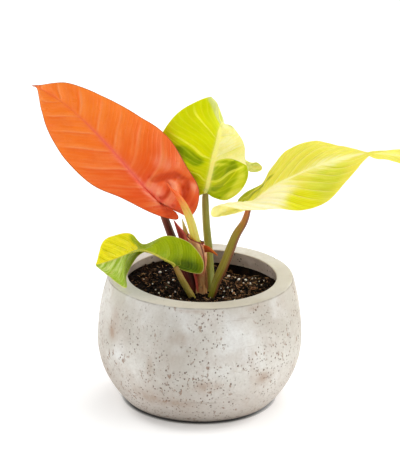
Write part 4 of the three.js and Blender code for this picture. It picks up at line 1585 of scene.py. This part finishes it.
centreBlade = {
    "across": 100, "along": 170, "seed": 5,
    "spacing": 19, "first": 0.5, "lead": 0.45, "bend": 1.0, "stray": 0.22, "quilt": 0.9,
    "groove": 0.2, "midrib": 0.9, "ribWidth": 2.6,
    "wave": 0.7, "lamina": 0.6, "ribThick": 2.6,
    "stations": [
        [[3, 12, 186], [2, 12, 184.5], [5, 11, 184.5]],
        [[4, 12, 188], [-5, 13, 181], [11, 7, 182]],
        [[5, 13, 191], [-17, 16, 181], [22, 2, 182]],
        [[6, 14, 196], [-29, 20, 188], [34, 0, 192]],
        [[8, 16, 205], [-36, 24, 201], [40, 4, 205]],
        [[10, 19, 216], [-38, 28, 218], [37, 16, 216]],
        [[13, 24, 227], [-35, 32, 234], [36, 24, 226]],
        [[15, 32, 236], [-19, 36, 253], [29, 34, 235]],
        [[18, 46, 237], [6, 45, 262.3], [24, 48, 235]],
        [[25, 62, 218], [-3, 62, 239], [33, 58, 214]],
        [[36, 70, 199], [20, 73, 209], [35, 68, 194]],
        [[43.3, 70, 190.9], [40.6, 72, 194.7], [41.6, 68, 186.6]],
        [[49.6, 68.5, 190.2], [48.6, 70, 194.4], [48.3, 67, 186.3]],
        [[53.5, 68, 189.9], [52.8, 68.5, 191.6], [52.5, 67.5, 187.7]],
    ],
    "bumps": [
        (3.2, 0.5, 0.5, 0.12, 1.2), (2.4, 0.62, 0.4, 0.12, -1.0), (3.9, 0.35, 0.35, 0.1, -1.1),
        (3.3, -0.5, 0.35, 0.25, -1.0), (4.2, -0.45, 0.35, 0.25, 0.9), (3.6, 0.78, 0.4, 0.1, -0.8),
        (8.0, -0.72, 0.4, 0.24, 1.8),
    ],
    "patches": {
        "greenLeft": (
            lambda s, v, f: (v < 0) * (
            1.25 * streak(s, v, [(5.15, -0.58), (4.9, -0.44), (4.6, -0.3)], 0.3, 0.14)
            + 0.62 * blob(s, v, 1.9, -0.5, 0.8, 0.5)
            + 0.62 * blob(s, v, 3.4, -0.5, 0.7, 0.4) + 0.5 * blob(s, v, 5.2, -0.95, 1.2, 0.25)),
            rgb(104, 140, 0), rgb(140, 170, 0), 0.9, 0.4, 0.4,
        ),
        "greenRight": (
            lambda s, v, f: (v > 0) * smooth(0.14, -0.14, s - lobeBorder(v)),
            rgb(156, 178, 0), rgb(188, 202, 8), 1.0, 0.14, 0.1,
        ),
        "darkBand": (
            lambda s, v, f: 1.1
            * streak(s, v, [(2.3, 0.3), (3.16, 0.41), (3.88, 0.5), (4.3, 0.62)], 0.5, 0.12),
            rgb(112, 142, 0), rgb(136, 160, 0), 0.85, 0.4, 0.4,
        ),
        "limeLobe": (
            lambda s, v, f: (v > 0) * smooth(4.7, 4.4, s)
            * (
                blob(s, v, 3.2, 0.86, 1.2, 0.16)
                + 0.9 * streak(s, v, [(4.45, 0.1), (4.6, 0.4)], 0.22, 0.14)
            ),
            rgb(218, 222, 60), rgb(236, 234, 110), 0.85, 0.35, 0.5,
        ),
        "creamRight": (
            lambda s, v, f: (v > 0) * smooth(-0.14, 0.14, s - lobeBorder(v)),
            rgb(250, 238, 154), rgb(255, 247, 186), 0.97, 0.14, 0.1,
        ),
        "lobeLines": (
            lambda s, v, f: 0.8
            * streak(s, v, [(4.55, 0.04), (4.76, 0.24), (4.8, 0.41), (4.77, 0.61)], 0.09, 0.05)
            + 0.7 * streak(s, v, [(3.0, 0.5), (3.7, 0.6), (4.2, 0.7), (4.5, 0.9)], 0.1, 0.02),
            rgb(236, 236, 60), rgb(246, 244, 110), 0.6, 0.35, 0.3,
        ),
        # painted sheen: the blade is pale and bluish where it arches over and turns away
        "foldSheen": (
            lambda s, v, f: 0.8 * (v > 0) * blob(s, v, 7.6, 0.8, 0.6, 0.35)
            + (v < 0.1) * smooth(7.28, 7.6, s + 0.35 * v),
            rgb(188, 196, 128), rgb(206, 212, 152), 0.9, 0.3, 0.4,
        ),
        "paleTip": (
            lambda s, v, f: smooth(8.8, 10.6, s),
            rgb(206, 214, 120), rgb(232, 234, 168), 0.85, 0.35, 0.4,
        ),
    },
    "look": {
        "tones": (rgb(209, 215, 0), rgb(204, 211, 0)),
        "light": rgb(230, 232, 6), "deep": rgb(184, 202, 0), "vein": rgb(250, 246, 100),
        "rib": rgb(255, 246, 150), "edge": rgb(226, 222, 120), "under": rgb(216, 222, 130),
        "veinShare": 0.5, "veinWidth": 0.022, "veinShadeShare": 0.3, "veinHighlightShare": 0.4,
        "haloShare": 0.25, "haloWidth": 2.2, "bandShare": 0.15, "streakShare": 0.5,
        "edgeShare": 0.6,
        "ribIn": 0.55, "ribOut": 1.15, "ribShare": 0.95, "glow": 0.25, "coat": 0.0, "shine": 0.14,
        "gloss": (0.3, 0.44),
    },
}

rightBlade = {
    "across": 92, "along": 210, "seed": 8,
    "spacing": 15, "lead": 1.7, "bend": 1.15, "quilt": 0.6, "groove": 0.25, "midrib": 0.5,
    "ribWidth": 2.0,
    "wave": 0.8, "lamina": 0.55, "ribThick": 2.4,
    "stations": [
        [[40, -8, 178], [38, -6, 178.5], [38, -10, 177]],
        [[40.4, -8, 178.3], [32, 2, 177], [28, -22, 178]],
        [[41, -8, 178.8], [32, 10, 180], [9.5, -35, 179.5]],
        [[42.5, -8, 180.5], [39, 16, 185], [12.5, -40, 191]],
        [[49, -8, 187.5], [52, 20, 191], [39, -42, 188.5]],
        [[63, -7.5, 199], [58.4, 22, 203], [65, -41, 190]],
        [[82, -6, 209], [73, 24, 221], [87, -38, 188]],
        [[100, -4, 217], [95, 26, 230], [108, -33, 195]],
        [[120, -2, 223], [120, 26, 226], [125, -29, 214]],
        [[136, 0, 226.2], [138, 25, 221], [137, -26, 228]],
        [[147, 2, 227.8], [149, 23, 216], [145, -20, 233.6]],
        [[159, 4, 226.6], [161, 22, 215], [158, -16, 235]],
        [[173, 6, 224], [174, 18, 213], [172, -8, 235]],
        [[185, 8, 220], [185, 14, 212], [185, -1, 228]],
        [[198, 10, 214], [197, 10, 213.5], [198, 9, 215]],
    ],
    "bumps": [
        (2.4, -0.5, 0.4, 0.14, 1.3), (3.0, -0.65, 0.35, 0.14, -1.4), (3.6, -0.5, 0.35, 0.14, 1.2),
        (3.4, -0.3, 0.3, 0.1, -0.9), (1.8, -0.65, 0.3, 0.14, -1.0), (5.4, 0.5, 0.6, 0.2, 0.8),
    ],
    "patches": {
        "creamBase": (
            lambda s, v, f: (v > -0.06) * smooth(7.4, 3.2, s + 1.6 * np.abs(v - 0.3))
            + 0.9 * blob(s, v, 4.2, 0.5, 1.2, 0.7),
            rgb(255, 242, 184), rgb(255, 248, 214), 0.95, 0.3, 0.6,
        ),
        "brightPatch": (
            lambda s, v, f: 1.3 * blob(s, v, 6.1, 0.78, 0.75, 0.3),
            rgb(221, 219, 0), rgb(232, 229, 14), 0.95, 0.3, 0.6,
        ),
        "limeUnder": (
            lambda s, v, f: 1.05 * blob(s, v, 7.3, 0.5, 1.0, 0.45),
            rgb(196, 207, 32), rgb(220, 223, 84), 0.8, 0.35, 0.7,
        ),
        "greenLobe": (
            lambda s, v, f: (v < 0)
            * (
                1.15 * smooth(4.9, 3.4, s) * smooth(0.0, 0.25, f["half"])
                - 0.5 * blob(s, v, 2.6, -0.35, 0.5, 0.2)
            ),
            rgb(158, 176, 10), rgb(214, 212, 70), 0.92, 0.3, 1.2,
        ),
        "yellowLobe": (
            lambda s, v, f: 1.1 * blob(s, v, 3.5, -0.3, 0.5, 0.12)
            + 0.9 * streak(s, v, [(2.6, -0.7), (3.4, -0.62), (4.4, -0.7)], 0.3, 0.05),
            rgb(222, 215, 60), rgb(238, 231, 98), 0.85, 0.35, 0.5,
        ),
        "darkLobe": (
            lambda s, v, f: streak(
                s, v, [(1.8, -0.5), (2.8, -0.42), (4.0, -0.5), (4.9, -0.5)], 0.3, 0.06
            )
            + 0.5 * streak(s, v, [(2.0, -0.2), (3.2, -0.16)], 0.3, 0.05),
            rgb(120, 138, 0), rgb(146, 160, 10), 0.75, 0.35, 0.5,
        ),
        "creamVeins": (
            lambda s, v, f: 0.85 * np.exp(-((f["half"] / 0.22) ** 2)) * smooth(5, 8, s),
            rgb(252, 244, 178), rgb(255, 249, 206), 0.7, 0.4, 0.8,
        ),
    },
    "look": {
        "tones": (rgb(240, 229, 100), rgb(231, 222, 80)),
        "light": rgb(250, 239, 128), "deep": rgb(214, 209, 46), "vein": rgb(255, 248, 170),
        "rib": rgb(255, 247, 178), "edge": rgb(236, 226, 120), "under": rgb(255, 250, 130),
        "veinShare": 0.5, "haloShare": 0.2, "haloWidth": 2.5, "bandShare": 0.3, "streakShare": 0.5,
        "edgeShare": 0.5,
        "veinWidth": 0.022, "glow": 0.25, "coat": 0.0, "shine": 0.16, "gloss": (0.3, 0.44),
    },
}

frontBlade = {
    "across": 90, "along": 150, "seed": 12, "flip": True,
    "spacing": 11, "lead": 0.9, "bend": 1.2, "quilt": 0.5, "groove": 0.22, "midrib": -0.35,
    "ribWidth": 1.4,
    "wave": 0.4, "lamina": 0.55, "ribThick": 1.3,
    "stations": [
        [[-23, -32, 133], [-21, -31, 131], [-24.5, -30, 132.5]],
        [[-24, -32, 134], [-12, -30, 127], [-26, -22, 133]],
        [[-27, -33, 136], [0, -29, 125], [-28, -14, 132]],
        [[-30, -34, 138], [3, -27, 132], [-31, -10, 134]],
        [[-35, -35, 141], [-1, -24, 141], [-35, -9, 136]],
        [[-42, -36, 145], [-12, -22, 152], [-40, -9, 138]],
        [[-49, -38, 148], [-31, -20, 156], [-47, -10, 138]],
        [[-54, -39, 149], [-50, -15, 146], [-56, -14, 133]],
        [[-62, -41, 147], [-61, -16, 156], [-64, -28, 122]],
        [[-70, -43, 144], [-74, -20, 156], [-64, -54, 120]],
        [[-80, -46, 141], [-85, -30, 153], [-77, -63, 133]],
        [[-90, -52, 140], [-89.5, -51, 141], [-89.5, -53, 139]],
    ],
    "bumps": [(3.6, -0.55, 0.6, 0.2, 0.6), (8.6, 0.45, 0.6, 0.25, 0.7), (9.2, -0.5, 0.7, 0.3, 0.5)],
    "patches": {
        "yellowLeft": (
            lambda s, v, f: smooth(6.85, 7.2, s + 0.35 * v) * smooth(0.03, -0.04, v)
            * (1 - 0.75 * blob(s, v, 7.6, -0.85, 0.7, 0.3)),
            rgb(230, 219, 0), rgb(246, 235, 44), 0.97, 0.2, 0.4,
        ),
        "paleLow": (
            lambda s, v, f: smooth(6.6, 7.2, s) * smooth(-0.04, 0.03, v)
            + 0.35 * smooth(6.8, 7.1, s) * blob(s, v, 7.2, -0.3, 0.3, 0.4),
            rgb(150, 184, 52), rgb(204, 219, 138), 0.95, 0.25, 0.5,
        ),
        "yellowRim": (
            lambda s, v, f: smooth(7.2, 5.8, s)
            * (
                0.9 * np.exp(-((f["ribDistance"] / 1.6) ** 2))
                + 0.5 * blob(s, v, 2.4, -0.94, 1.8, 0.08)
            ),
            rgb(196, 172, 30), rgb(208, 140, 50), 0.85, 0.35, 0.4,
        ),
        "deepGreen": (
            lambda s, v, f: 1.15 * smooth(7.0, 5.6, s) * blob(s, v, 2.0, -0.55, 1.9, 0.5),
            rgb(60, 86, 0), rgb(86, 112, 0), 0.95, 0.4, 0.4,
        ),
    },
    "look": {
        "tones": (rgb(174, 190, 0), rgb(156, 176, 0)),
        "light": rgb(190, 202, 14), "deep": rgb(120, 146, 0), "vein": rgb(200, 210, 60),
        "rib": rgb(214, 200, 100), "edge": rgb(240, 224, 160), "under": rgb(180, 196, 90),
        "veinShare": 0.16, "haloShare": 0.15, "haloWidth": 2.2, "bandShare": 0.2,
        "streakShare": 0.35, "edgeShare": 0.5, "edgeWidth": 1.0,
        "veinShadeShare": 0.18, "veinHighlightShare": 0.14,
        "ribShare": 0.5, "glow": 0.12, "coat": 0.05, "shine": 0.18, "gloss": (0.24, 0.38),
    },
}


def makeLeaves():
    for name, blade, slot in (
        ("red_leaf_blade", redBlade, "red_leaf"),
        ("centre_leaf_blade", centreBlade, "lime_leaf"),
        ("right_leaf_blade", rightBlade, "yellow_leaf"),
        ("front_leaf_blade", frontBlade, "green_leaf"),
    ):
        skins = [
            leafSkin(name + "Upper", blade["look"], blade["patches"]),
            leafSkin(name + "Under", blade["look"], blade["patches"], under=True),
        ]
        makeBlade(name, blade, skins, slot)


makeLeaves()
print("the leaves are ready")


spear = {
    "points": [
        [0.3, -8.6, 129], [-1.4, -9, 138], [-4.2, -10, 147], [-8.4, -12, 164], [-13.8, -13, 178.5],
        [-19.8, -13.6, 189.3],
        [-26.2, -14, 196.6], [-30.4, -14, 202.3],
    ],
    "radii": [3, 3.6, 3.8, 3.6, 3.1, 2.3, 1.2, 0.3],
    "turns": 0.55,
    "overlap": 0.13,
}


def spearSkin():
    s = Shader(
        "spearSkin",
        **{
            "Subsurface Weight": 0.25, "Subsurface Scale": 0.003, "Coat Weight": 0.2,
            "Coat Roughness": 0.25
        }
    )
    along = s.read("along")
    lines = s.fibres(4.0, s.times(along, 2.4), 1.7)
    s.color = s.mix(s.ramp(along, 0.1, 0.6), rgb(226, 214, 84), rgb(238, 214, 92))
    s.over(s.times(s.ramp(s.read("turnToo"), -0.2, 0.9), 0.6), rgb(176, 178, 62))
    s.over(s.ramp(lines, 0.42, 0.68, 0, 0.55), rgb(250, 240, 156))
    s.over(s.ramp(along, 0.42, 0.8), rgb(238, 104, 32))
    s.over(s.ramp(s.noise(160, 4), 0.5, 0.75, 0, 0.2), rgb(166, 140, 40))
    relief = s.bump(lines, 0.0006, 0.5)
    return s.finish(s.ramp(lines, 0.3, 0.7, 0.3, 0.45), relief)


def makeSpear():
    # the rolled leaf: its outer edge winds up the spear as a small step
    plain = stalkPlace(spear["points"], spear["radii"], 15, uneven=0.03)
    bare = stalkPlace(spear["points"], [0] * len(spear["radii"]), 15)

    def place(u, v):
        middle = bare(u, v)
        wound = (v / 2 + 0.5 - spear["turns"] * u + 0.15) % 1
        step = 1 + spear["overlap"] * (wound - 0.5) * smooth(1, 0.7, u)
        return middle + (plain(u, v) - middle) * step[:, None]

    piece, u, v = shapedGrid("new_leaf_spear_skin", 48, 150, place)
    rolled(piece, u, v, spearSkin())
    finished(piece, "new_leaf", "new_leaf_spear")


pinkSheath = {
    "points": [
        [0.4, -8.6, 122], [0.2, -8.7, 127], [-0.4, -9.0, 133], [-1.8, -9.4, 140], [-4.8, -10, 149],
        [-7.6, -10.8, 157]
    ],
    "outer": [4.3, 5.0, 5.7, 6.0, 6.2, 6.4],
    "wall": 0.7,
    "mouth": (2, -9, 147),
    "slant": 24,
    "teeth": 1.7,
    "length": 36.0,
    "columns": 56,
}


def pinkSkin():
    s = Shader(
        "pinkSkin",
        **{
            "Subsurface Weight": 0.2, "Subsurface Scale": 0.003, "Coat Weight": 0.12,
            "Coat Roughness": 0.3
        }
    )
    turn, turnToo, down = s.read("turn"), s.read("turnToo"), s.read("belowMouth")
    lines = s.fibres(6.0, s.times(down, 0.1), 1.8)
    s.color = s.mix(s.ramp(down, 2, 16), rgb(254, 198, 144), rgb(240, 146, 116))
    s.over(s.ramp(lines, 0.42, 0.66, 0, 0.7), rgb(252, 212, 162))
    s.over(s.ramp(s.noise(70, 3), 0.45, 0.7, 0, 0.5), rgb(220, 96, 92))
    seam = s.times(
        s.ramp(turn, 0.1, -0.12),
        s.ramp(s.math("ABSOLUTE", s.minus(turnToo, 0.55)), 0.05, 0.12, 1, 0)
    )
    s.over(s.times(seam, 0.85), rgb(120, 20, 24))
    s.over(s.ramp(down, 0.6, 1.5, 0.95, 0), rgb(122, 18, 22))
    relief = s.bump(lines, 0.0006, 0.5)
    return s.finish(s.ramp(lines, 0.3, 0.7, 0.4, 0.6), relief)


def makePinkSheath():
    # a short open tube with a slanting, ragged mouth: up its outside and down its inside
    p = pinkSheath
    slope = math.radians(p["slant"])
    plane = np.array([math.sin(slope), 0, math.cos(slope)])
    heights = np.linspace(0, 1, 90)

    def skin(share, v, thinner):
        radii = [r - thinner for r in p["outer"]]
        return stalkPlace(p["points"], radii, 17, uneven=0.05)(share, v)

    around = np.linspace(-1, 1, p["columns"] + 1)
    mouthAt = []
    for v in around:
        line = skin(heights, np.full(len(heights), v), 0)
        over = (line - np.array(p["mouth"])) @ plane
        mouthAt.append(np.interp(0, over, heights))
    ragged = 0
    for share, reach, seed in ((1, 2.2, 3), (0.5, 6, 5)):
        places = [
            (math.cos(math.pi * v) * reach, math.sin(math.pi * v) * reach, seed) for v in around
        ]
        ragged = ragged + share * np.array([noise.noise(Vector(place)) for place in places])
    mouthAt = np.array(mouthAt) + p["teeth"] * ragged / p["length"]

    def place(u, v):
        top = np.interp(v, around, mouthAt)
        outside = u <= 0.5
        share = np.where(outside, u * 2, (1 - u) * 2)
        inner = smooth(0.48, 0.52, u)
        share = np.where(outside, share, 0.12 + 0.88 * share) * top
        outer, inside = skin(share, v, 0), skin(share, v, p["wall"])
        return outer * (1 - inner[:, None]) + inside * inner[:, None]

    piece, u, v = shapedGrid("pink_sheath_skin", p["columns"], 100, place)
    top = np.interp(v, around, mouthAt)
    attribute(piece.data, "belowMouth", np.abs(1 - 2 * u) * top * p["length"])
    rolled(piece, u, v, pinkSkin())
    finished(piece, "pink_sheath", "pink_sheath")


sheaths = {
    "red_sheath": {
        "across": 28, "along": 90, "seed": 31, "lamina": 0.8, "ribThick": 1.3, "ribWidth": 1.2,
        "midrib": 0.2,
        "quilt": 0.12, "groove": 0.08, "spacing": 6, "lead": 3, "wave": 0.4, "crown": 0.12,
        "stations": [
            [[-3.4, -9.8, 101], [-4.2, -7.8, 101], [-1.6, -13.4, 101.5]],
            [[-4.6, -9.6, 110], [-4.6, -7.4, 110], [-2.6, -13.2, 110]],
            [[-6.8, -10.8, 120], [-7.6, -8, 120], [-4.6, -14.6, 120]],
            [[-10.4, -11.4, 131], [-13.4, -9, 131], [-7.6, -15.2, 130]],
            [[-14, -11.6, 143], [-18, -8.4, 145], [-10.6, -14.8, 142]],
            [[-16.4, -9.8, 154], [-21.4, -8, 156], [-12.4, -11, 153]],
            [[-24, -8, 166], [-24.5, -8, 166.2], [-23.4, -8, 165.4]],
        ],
        "tints": (rgb(122, 8, 24), rgb(158, 46, 38), rgb(244, 126, 108)),
        "slot": "red_sheath",
    },
    "pale_sheath": {
        "across": 12, "along": 70, "seed": 33, "lamina": 0.5, "ribThick": 0.9, "ribWidth": 0.8,
        "spacing": 6, "wave": 0.2,
        "stations": [
            [[-2.5, -5, 116], [-3.3, -5.6, 116], [-1.7, -4.4, 116]],
            [[-7, -4.2, 134], [-8.4, -4.6, 134], [-5.6, -3.8, 134]],
            [[-13.4, -4.6, 154], [-15.4, -4.8, 154], [-11.6, -4.4, 154]],
            [[-15.8, -4.5, 162], [-16.7, -4.6, 162], [-14.8, -4.4, 162]],
            [[-16.8, -4.4, 166.4], [-17, -4.4, 166.4], [-16.6, -4.4, 166.4]],
        ],
        "tints": (rgb(200, 190, 110), rgb(226, 220, 140), rgb(240, 214, 140)),
        "slot": "pale_sheath",
    },
    "dry_sheath_tip": {
        "across": 18, "along": 50, "seed": 35, "lamina": 0.5, "ribThick": 0.9, "ribWidth": 0.8,
        "spacing": 4, "wave": 0.5, "quilt": 0.15,
        "stations": [
            [[2.6, -14, 143], [2.2, -14.4, 146], [3.2, -13.6, 139]],
            [[8, -17, 142.5], [7.6, -17, 145], [8.2, -16.4, 140]],
            [[14.5, -21, 139], [14.6, -21, 139.4], [14.3, -21, 138.6]],
        ],
        "tints": (rgb(206, 96, 34), rgb(226, 130, 40), rgb(150, 60, 24)),
        "slot": "dry_sheath",
    },
    "dry_sheath_base": {
        "across": 18, "along": 50, "seed": 37, "lamina": 0.5, "ribThick": 0.9, "ribWidth": 0.8,
        "spacing": 4, "wave": 0.6, "quilt": 0.2,
        "stations": [
            [[5.8, -9.6, 103], [6, -7.4, 103.5], [4.6, -11.6, 102.6]],
            [[5.5, -9.6, 111], [5.8, -7.6, 110], [4.3, -11.6, 112]],
            [[5.3, -9.4, 121], [5.5, -9, 121], [5.1, -9.8, 121]],
        ],
        "tints": (rgb(112, 62, 34), rgb(158, 96, 54), rgb(188, 132, 84)),
        "slot": "dry_sheath",
    },
}


def sheathSkin(name, tints):
    foot, middle, edge = tints
    s = Shader(
        name + "Skin",
        **{
            "Subsurface Weight": 0.15, "Subsurface Scale": 0.002, "Coat Weight": 0.1,
            "Coat Roughness": 0.3
        }
    )
    grid = s.vector(s.times(s.read("side"), 5.0), s.times(s.read("lengthwise"), 2.5))
    lines = s.noise(1.8, 5, 0.7, grid)
    s.color = s.mix(s.ramp(s.read("lengthwise"), 0.1, 0.8), foot, middle)
    s.over(s.times(s.ramp(s.read("side"), -0.3, 0.6), 0.75), edge)
    s.over(s.ramp(lines, 0.45, 0.68, 0, 0.5), s.mix(0.5, s.color, edge))
    s.over(s.ramp(s.noise(140, 4, 0.7), 0.5, 0.7, 0, 0.3), foot)
    return s.finish(s.ramp(lines, 0.3, 0.7, 0.4, 0.6), s.bump(lines, 0.0006, 0.6))


makeSpear()
makePinkSheath()
for sheathName, sheath in sheaths.items():
    makeBlade(sheathName, sheath, [sheathSkin(sheathName, sheath["tints"])], sheath["slot"])
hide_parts("stem_and_roots")
print("the new leaf and the sheaths are ready")
